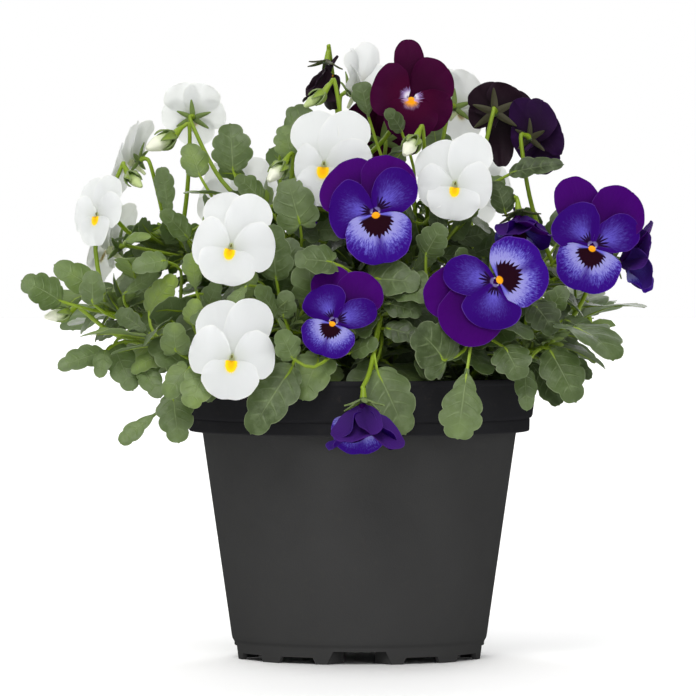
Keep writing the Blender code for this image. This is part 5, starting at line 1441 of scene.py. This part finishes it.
def white_finish():
    f = Petal("white petal")
    reach, lip, under = f.reach, f.lip, f.under
    veins = f.rays(f.angle, 0.09) * f.ease(reach, 1.0, 0.3)
    down, wide = (f.along - 0.09) / 0.21, f.across / 0.15
    patch = f.math("SQRT", down * down + wide * wide) + (f.speck - 0.5) * 0.4
    yellow = lip * f.ease(patch, 1.16, 0.92) * (1 - under)
    colour = f.coats(
        f.mix(f.ease(reach, 0.0, 0.55), (226, 229, 228), (237, 239, 241)),
        (veins * 0.12 * (1 - lip * 0.5), (212, 216, 224)),
        # Painted highlight: a brighter rim along each petal's edge.
        (f.ease(f.rim, 0.93, 1.0) * 0.6, (252, 252, 248)),
        (lip * f.ease(patch, 1.5, 1.0) * 0.4, (250, 240, 150)),
        (yellow, (252, 204, 2)),
        (lip * f.ease(patch, 0.85, 0.25) * 0.7, (244, 166, 0)),
        # Painted shadow: the lip darkens to olive in the throat.
        (lip * f.ease(reach, 0.1, 0.0) * 0.6, (130, 110, 20)),
        (f.ease(reach, 0.09, 0.03) * (1 - lip), (212, 218, 194)),
        (under * f.ease(reach, 0.5, 0.05) * 0.5, (214, 222, 196)),
        # Throat and spur
        (f.math("COMPARE", f.layer, 5.0, 0.25), (190, 200, 140)))
    return f.skin(colour, 0.58, f.bump(veins * 0.5 + f.grain * 0.3, 0.2, 0.0002), 0.12, 0.03,
                  (253, 253, 251), (1 - yellow) * 0.48)


def maroon_finish():
    f = Petal("wine-red petal")
    reach, lip, side, wobble = f.reach, f.lip, f.side, f.wobble
    mottle = f.speck - 0.5
    pale = f.rays(f.angle + wobble * 0.1, 0.17)
    streak = f.ease(reach - (0.1 + pale ** 1.2 * (0.04 + wobble * 0.26)), 0.016, -0.016)
    gold = lip * f.ease(reach - (0.1 + pale * 0.12), 0.02, -0.02) * f.ease(abs(f.angle), 1.3, 1.0)
    colour = f.coats(
        f.mix(f.ease(reach + mottle * 0.5, 0.3, 1.1), (46, 0, 32), (58, 2, 44)),
        ((side + lip) * f.ease(reach + mottle * 0.4, 0.85, 0.3) * 0.7, (64, 0, 38)),
        (side * streak * f.ease(reach, 0.4, 0.2), (166, 140, 206)),
        (side * f.ease(reach - pale * 0.06, 0.13, 0.06), (222, 214, 230)),
        (lip * streak * f.ease(reach, 0.36, 0.26), (196, 160, 206)),
        (gold, (246, 160, 0)),
        (f.ease(f.rim, 0.97, 1.0) * 0.25, (100, 22, 76)),
        (f.under * 0.3, (72, 20, 54)))
    return f.skin(colour, 0.54, f.bump(f.grain, 0.22, 0.0002), 0.05, 0.0, (150, 2, 70), 0.05)


def dark_finish():
    f = Petal("black-purple petal")
    deep = f.ease(f.reach + f.speck * 0.4, 0.3, 1.2)
    colour = f.coats(
        f.mix(deep, (16, 3, 12), (28, 8, 22)),
        (f.ease(f.tint, 0.35, 0.65), f.mix(deep, (30, 6, 42), (46, 8, 70))),
        (f.lip * f.ease(f.reach, 0.2, 0.13) * (1 - f.under), (226, 160, 20)),
        (f.ease(f.rim, 0.96, 1.0) * 0.2, (70, 36, 78)),
        (f.under * 0.25, (46, 30, 42)))
    return f.skin(colour, 0.5, f.bump(f.grain, 0.25, 0.0002), 0.14, 0.04, fuzz=0.4)


def eye_finish():
    f = Finish("flower eye")
    part = f.marks("part")[0]
    colour = f.coats(f.mix(f.ease(part, 0.2, 0.8), (150, 142, 172), (240, 160, 16)),
                     (f.ease(part, 1.2, 1.8), (104, 100, 40)))
    return f.surface(colour, 0.75, {"Normal": f.bump(f.cloud(2600.0), 0.5), "Sheen Weight": 0.05,
                                    "Specular IOR Level": 0.2})


def bud_finish(name, tip, foot):
    f = Finish(name)
    cloud = f.cloud(300.0)
    colour = f.mix(f.ease(f.marks("along")[0] + cloud * 0.3, 0.35, 0.95), foot, tip)
    return f.surface(colour, 0.5, {"Normal": f.bump(cloud, 0.3)}, tip, 0.15)


def pot_finish():
    f = Finish("black moulded plastic")
    cloud, dust, grain = f.cloud(22.0, 4.0, 0.6), f.cloud(260.0, 4.0, 0.7), f.cloud(1700.0)
    height = f.node("SeparateXYZ", {}, {0: f.place()}, 2)
    soiled = f.ease(dust, 0.56, 0.76) * (0.2 + f.ease(height, 0.09, 0.102) * 0.5)
    # Painted shadow: the collar is painted darker than the body, for the shade that the foliage
    # above casts on it.
    colour = f.coats(f.mix(cloud, (53, 53, 53), (62, 62, 62)),
                     (f.ease(height, 0.0815, 0.083), (35, 35, 37)),
                     (soiled * 0.25, (96, 86, 74)))
    return f.surface(colour, 0.42 + cloud * 0.14 + soiled * 0.25,
                     {"Normal": f.bump(grain * 0.6 + cloud * 0.4, 0.22), "Specular IOR Level": 0.0})


def soil_finish():
    f = Finish("potting soil")
    crumb, clod = f.cloud(420.0, 5.0, 0.65), f.cloud(110.0, 3.0)
    colour = f.ramp(crumb * 0.8 + clod * 0.3 - 0.1, (0.0, (22, 15, 10)), (1.0, (104, 82, 58)),
                    (0.45, (46, 33, 23)), (0.7, (70, 52, 36)))
    return f.surface(colour, 0.85 + crumb * 0.12,
                     {"Normal": f.bump(crumb + clod * 0.5, 0.8, 0.0012)})


def floor_finish():
    f = Finish("pale floor")
    level = 244
    shade = f.mix(f.cloud(3.0) * 0.04, (level,) * 3, (level * 0.97,) * 3)
    return f.surface(shade, 0.8, {})


# Pot and soil

def turned(line, steps):
    # Corners and faces of an outline turned about the pot's axis.
    line = np.array(line, float)
    turns = 2 * math.pi * np.arange(steps) / steps
    verts = np.stack([np.outer(line[:, 0], np.cos(turns)), np.outer(line[:, 0], np.sin(turns)),
                      np.outer(line[:, 1], np.ones(steps))], axis=-1)
    return verts.reshape(-1, 3), grid_faces(len(line), steps, wrap=True).tolist()


def rounded(line, steps=4):
    # An outline of radius, height and softness, with each corner rounded off by its softness.
    made = []
    for i, (out, up, soft) in enumerate(line):
        p = vec(out, up)
        if not soft:
            made.append(p)
            continue
        a, b = vec(*line[i - 1][:2]) - p, vec(*line[i + 1][:2]) - p
        cut = min(soft, 0.45 * np.linalg.norm(a), 0.45 * np.linalg.norm(b))
        a, b = p + unit(a) * cut, p + unit(b) * cut
        for t in np.linspace(0, 1, steps):
            made.append(a * (1 - t) ** 2 + 2 * p * t * (1 - t) + b * t * t)
    return made


def solid(name, verts, faces):
    placed = (np.asarray(verts) + vec(AXIS_X, AXIS_Y, 0)) * MM
    mesh = bpy.data.meshes.new(name)
    mesh.from_pydata(placed.tolist(), [], [list(f) for f in faces])
    work = bmesh.new()
    work.from_mesh(mesh)
    bmesh.ops.remove_doubles(work, verts=work.verts, dist=1e-7)
    bmesh.ops.recalc_face_normals(work, faces=work.faces)
    work.to_mesh(mesh)
    work.free()
    return linked(name, mesh)


def notch(angle, half, height):
    # Eight corners of a block through the foot ring, drawn in at its top.
    verts = []
    for r in (FOOT_R - 4, FOOT_R + 6):
        for z, spread in ((-1.0, 1.12), (height, 0.86)):
            for s in (-1, 1):
                verts.append(round_at(r, math.radians(angle + s * half * spread), z))
    return verts, BLOCK_FACES


def add_wings(mesh):
    # Plates that lead in from both sides of each wide notch.
    work = bmesh.new()
    work.from_mesh(mesh)
    for k in range(0, NOTCHES, WIDE_EVERY):
        for side in (-1, 1):
            verts = []
            for r, spread in ((FOOT_R - 0.7, 0.97), (FOOT_R - 8.0, 0.62)):
                for z in (0.25, FLOOR_UNDER_Z + 0.1):
                    for shift in (0, WING_TURN):
                        w = math.radians(360 // NOTCHES * k + side * (NOTCH_WIDE * spread + shift))
                        verts.append(round_at(r, w, z))
            plate = solid("plate", verts, BLOCK_FACES)
            work.from_mesh(plate.data)
            bpy.data.objects.remove(plate)
    work.to_mesh(mesh)
    work.free()


def fine_pot(finish):
    inner, foot = RIM_R - WALL, FOOT_R - 1.8
    # Radius, height and softness of each corner, from the floor over the rim to the foot
    line = [
        (0, FLOOR_TOP_Z, 0), (BODY_FOOT_R - WALL, FLOOR_TOP_Z, 1.5),
        (BODY_TOP_R - WALL, RIM_UNDER_Z + 1.2, 1.5), (BAND_LOWER_R - WALL, RIM_UNDER_Z + 3.0, 1.0),
        (inner, RIM_TOP - 0.6, 0.3), (inner + 0.3, RIM_TOP, 0.3), (RIM_R - 0.3, RIM_TOP, 0.4),
        (RIM_R, RIM_TOP - 0.5, 0.4), (RIM_R, RIM_TOP - 1.7, 0.5),
        (RIM_R - 0.55, RIM_TOP - 2.3, 0.4),
        (BAND_UPPER_R, BAND_STEP_Z + 0.9, 0.5), (BAND_UPPER_R - 0.5, BAND_STEP_Z + 0.1, 0.4),
        (BAND_UPPER_R - 1.2, BAND_STEP_Z, 0.3), (BAND_LOWER_R + 0.1, BAND_STEP_Z - 0.5, 0.4),
        (BAND_LOWER_R, RIM_UNDER_Z, 0.7), (BODY_TOP_R + 0.2, RIM_UNDER_Z, 0.4),
        (BODY_TOP_R, RIM_UNDER_Z - 0.9, 0.6), (BODY_FOOT_R + 0.1, LEDGE_Z + 1.4, 0.5),
        (BODY_FOOT_R - 0.2, LEDGE_Z, 0.5), (FOOT_R + 0.2, LEDGE_Z - 1.0, 0.6), (FOOT_R, 0, 0.25),
        (foot, 0, 0.25), (foot, FLOOR_UNDER_Z, 0.5), (0, FLOOR_UNDER_Z, 0)]
    verts, faces = turned(rounded(line), POT_STEPS)
    pot = solid("pot_body", verts, faces)
    cutters = Skin()
    for k in range(NOTCHES):
        half, height = ((NOTCH_SMALL, NOTCH_SMALL_Z) if k % WIDE_EVERY
                        else (NOTCH_WIDE, NOTCH_WIDE_Z))
        cutters.add(*notch(360 // NOTCHES * k, half, height), 0)
    for k in range(DRAINS):
        w = math.radians(30 + 60 * k)
        ends = [round_at(DRAIN_RING_R, w, z) for z in (FLOOR_UNDER_Z - 2, FLOOR_TOP_Z + 2)]
        tube(cutters, ends, [DRAIN_R, DRAIN_R], 0, sides=32, steps=1)
    cutter = solid("pot_cutter", np.concatenate(cutters.verts), cutters.faces)
    cut = pot.modifiers.new("cut", "BOOLEAN")
    cut.operation, cut.solver, cut.object = "DIFFERENCE", "EXACT", cutter
    graph = bpy.context.evaluated_depsgraph_get()
    mesh = bpy.data.meshes.new_from_object(pot.evaluated_get(graph))
    for old in (pot, cutter):
        bpy.data.objects.remove(old)
    add_wings(mesh)
    pot = linked("pot_with_rim", mesh)
    mesh.materials.clear()
    mesh.materials.append(finish)
    mesh.shade_smooth()
    mesh.set_sharp_from_angle(angle=math.radians(POT_SHARP))
    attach(pot, "root")
    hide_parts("pot")


def ground(x, y):
    return SOIL_TOP + 0.3 + 1.5 * noise.noise(Vector((x, y, 3)) / 9)


def fine_soil(finish, rnd):
    wall = BAND_LOWER_R - WALL - SOIL_GAP
    turns = 2 * math.pi * np.arange(SOIL_STEPS) / SOIL_STEPS
    verts = []
    for r in np.linspace(0, wall, SOIL_RINGS):
        for w in turns:
            x, y = r * math.cos(w), r * math.sin(w)
            verts.append((x, y, ground(x, y) + 0.7 * noise.noise(Vector((x, y, 9)) / 2.6)))
    for r, z in ((wall, RIM_UNDER_Z + 3.3), (BODY_TOP_R - WALL - SOIL_GAP, RIM_UNDER_Z + 1.4),
                 (BODY_FOOT_R - WALL - SOIL_GAP, FLOOR_TOP_Z + SOIL_GAP),
                 (0.01, FLOOR_TOP_Z + SOIL_GAP)):
        verts += [round_at(r, w, z) for w in turns]
    skin = Skin()
    skin.add(verts, grid_faces(SOIL_RINGS + 4, SOIL_STEPS, wrap=True)[:, ::-1].tolist(), 0)
    for _ in range(CRUMBS):
        r, w = wall * math.sqrt(rnd.random()) * 0.97, rnd.uniform(0, 2 * math.pi)
        x, y = r * math.cos(w), r * math.sin(w)
        size = rnd.uniform(0.5, 1.7)
        a = unit(vec(rnd.uniform(-1, 1), rnd.uniform(-1, 1), rnd.uniform(-0.4, 0.4)))
        b = unit(np.cross(a, vec(0.1, 0.2, 1)))
        lump(skin, vec(x, y, ground(x, y) + size * 0.2), (a, b, np.cross(a, b)),
             vec(size, size * rnd.uniform(0.5, 0.9), size * rnd.uniform(0.4, 0.8)), 0)
    skin.build("soil_crumbs", ["soil"], "soil", [finish])


# The scene

def fine_shoot(shoot, rnd):
    # Slot 0 is leaf and slot 1 is stem.
    skin = Skin()
    tube(skin, shoot["stem"], shoot["radii"], 1, sides=10, steps=6, ridge=0.06, tone=0.5)
    for stalk in shoot["stalks"]:
        line = stalk["line"]
        tube(skin, line, stalk["radii"], 1, sides=8, steps=6, tone=0.55)
        run = unit(line[1] - line[0])
        tuft(skin, line[0], run, unit(np.cross(run, vec(0.3, 0.5, 0.1))), rnd, 0.8)
    for share in np.linspace(0.3, 0.96, STEM_TUFTS):
        p, run = stem_point(shoot["stem"], share)
        tuft(skin, p, run, unit(vec(p[0], p[1], 0.01)), rnd, 0.9)
    for flower in shoot["flowers"]:
        fine_calyx(skin, flower)
    for blade in shoot["leaves"]:
        fine_leaf(skin, blade, 0)
        fine_petiole(skin, blade, 1, 0.45 + 0.4 * blade["tone"])
        foot, after = blade["petiole"][:2]
        run = unit(after - foot)
        tuft(skin, foot, unit(vec(0, 0, 1) + 0.3 * run), unit(vec(run[0], run[1], 0.01)), rnd, 1.0,
             3 if blade.get("extra") else 4)
    return skin


def main():
    rnd = random.Random(SEED + 5)
    plan = lay_out()
    more_leaves(plan, rnd)
    leaf, stem, eye = leaf_finish(), stem_finish(), eye_finish()
    for name, shoot in plan["shoots"].items():
        skin = fine_shoot(shoot, rnd)
        skin.build("leafy_shoot_" + name, ["shoot_" + name], "foliage", [leaf, stem])
    petals = {"blue": blue_finish, "white": white_finish, "maroon": maroon_finish,
              "dark": dark_finish}
    for hue, finish in petals.items():
        skin = Skin()
        blooms = [b for b in plan["blooms"] if b["hue"] == hue]
        for bloom in blooms:
            fine_flower(skin, bloom, rnd)
        skin.build("petals_" + hue, ["flower_" + b["name"] for b in blooms], "petal_" + hue,
                   [finish(), eye])
    for hue, (tip, foot) in BUD_COLOURS.items():
        skin = Skin()
        buds = [b for b in plan["buds"] if b["hue"] == hue]
        for bud in buds:
            fine_bud(skin, bud)
        skin.build("buds_" + hue, ["bud_" + b["name"] for b in buds], "bud_" + hue,
                   [bud_finish(hue + " bud", tip, foot)])
    fine_pot(pot_finish())
    fine_soil(soil_finish(), rnd)
    build_studio()


def soft_sun(name, turn, rise, light, spread, colour):
    # A broad even light from far off. light is what a white sheet facing it shows.
    lamp = bpy.data.lights.new(name, "SUN")
    lamp.energy = light * math.pi
    lamp.angle = math.radians(spread)
    lamp.color = colour
    toward = Vector(heading(turn, rise))
    linked(name, lamp).rotation_euler = toward.to_track_quat("Z", "Y").to_euler()


def studio_air(around, behind):
    # A world that lights the object less than it shows behind it, as a lit backdrop does.
    world = bpy.data.worlds.new("studio")
    world.use_nodes = True
    tree = world.node_tree
    back = tree.nodes["Background"]
    back.inputs[0].default_value = (1.0, 1.0, 1.0, 1.0)
    seen = tree.nodes.new("ShaderNodeLightPath")
    level = tree.nodes.new("ShaderNodeMapRange")
    level.inputs[3].default_value = around
    level.inputs[4].default_value = behind
    tree.links.new(seen.outputs["Is Camera Ray"], level.inputs[0])
    tree.links.new(level.outputs[0], back.inputs[1])
    bpy.context.scene.world = world


def build_studio():
    scene = bpy.context.scene
    floor_mesh = bpy.data.meshes.new("floor")
    floor_mesh.from_pydata([(-6, -6, 0), (6, -6, 0), (6, 6, 0), (-6, 6, 0)], [], [(0, 1, 2, 3)])
    floor = linked("floor", floor_mesh)
    floor_mesh.materials.append(floor_finish())
    studio_air(0.33, 1.0)
    for lamp in LAMPS:
        soft_sun(*lamp)
    camera = bpy.data.cameras.new("camera")
    made = linked("camera", camera)
    rise = math.radians(VIEW_RISE)
    aim = Vector((AXIS_X + VIEW_X, AXIS_Y, VIEW_Z)) * MM
    away = Vector((0, -math.cos(rise), math.sin(rise))) * VIEW_AWAY * MM
    made.location = aim + away
    made.rotation_euler = (-away).to_track_quat("-Z", "Y").to_euler()
    camera.sensor_width = SENSOR
    camera.lens = SENSOR * VIEW_AWAY / VIEW_WIDE
    camera.clip_end = 50.0
    scene.camera = made
    scene.view_settings.view_transform = "Standard"


main()
bpy.context.view_layer.update()
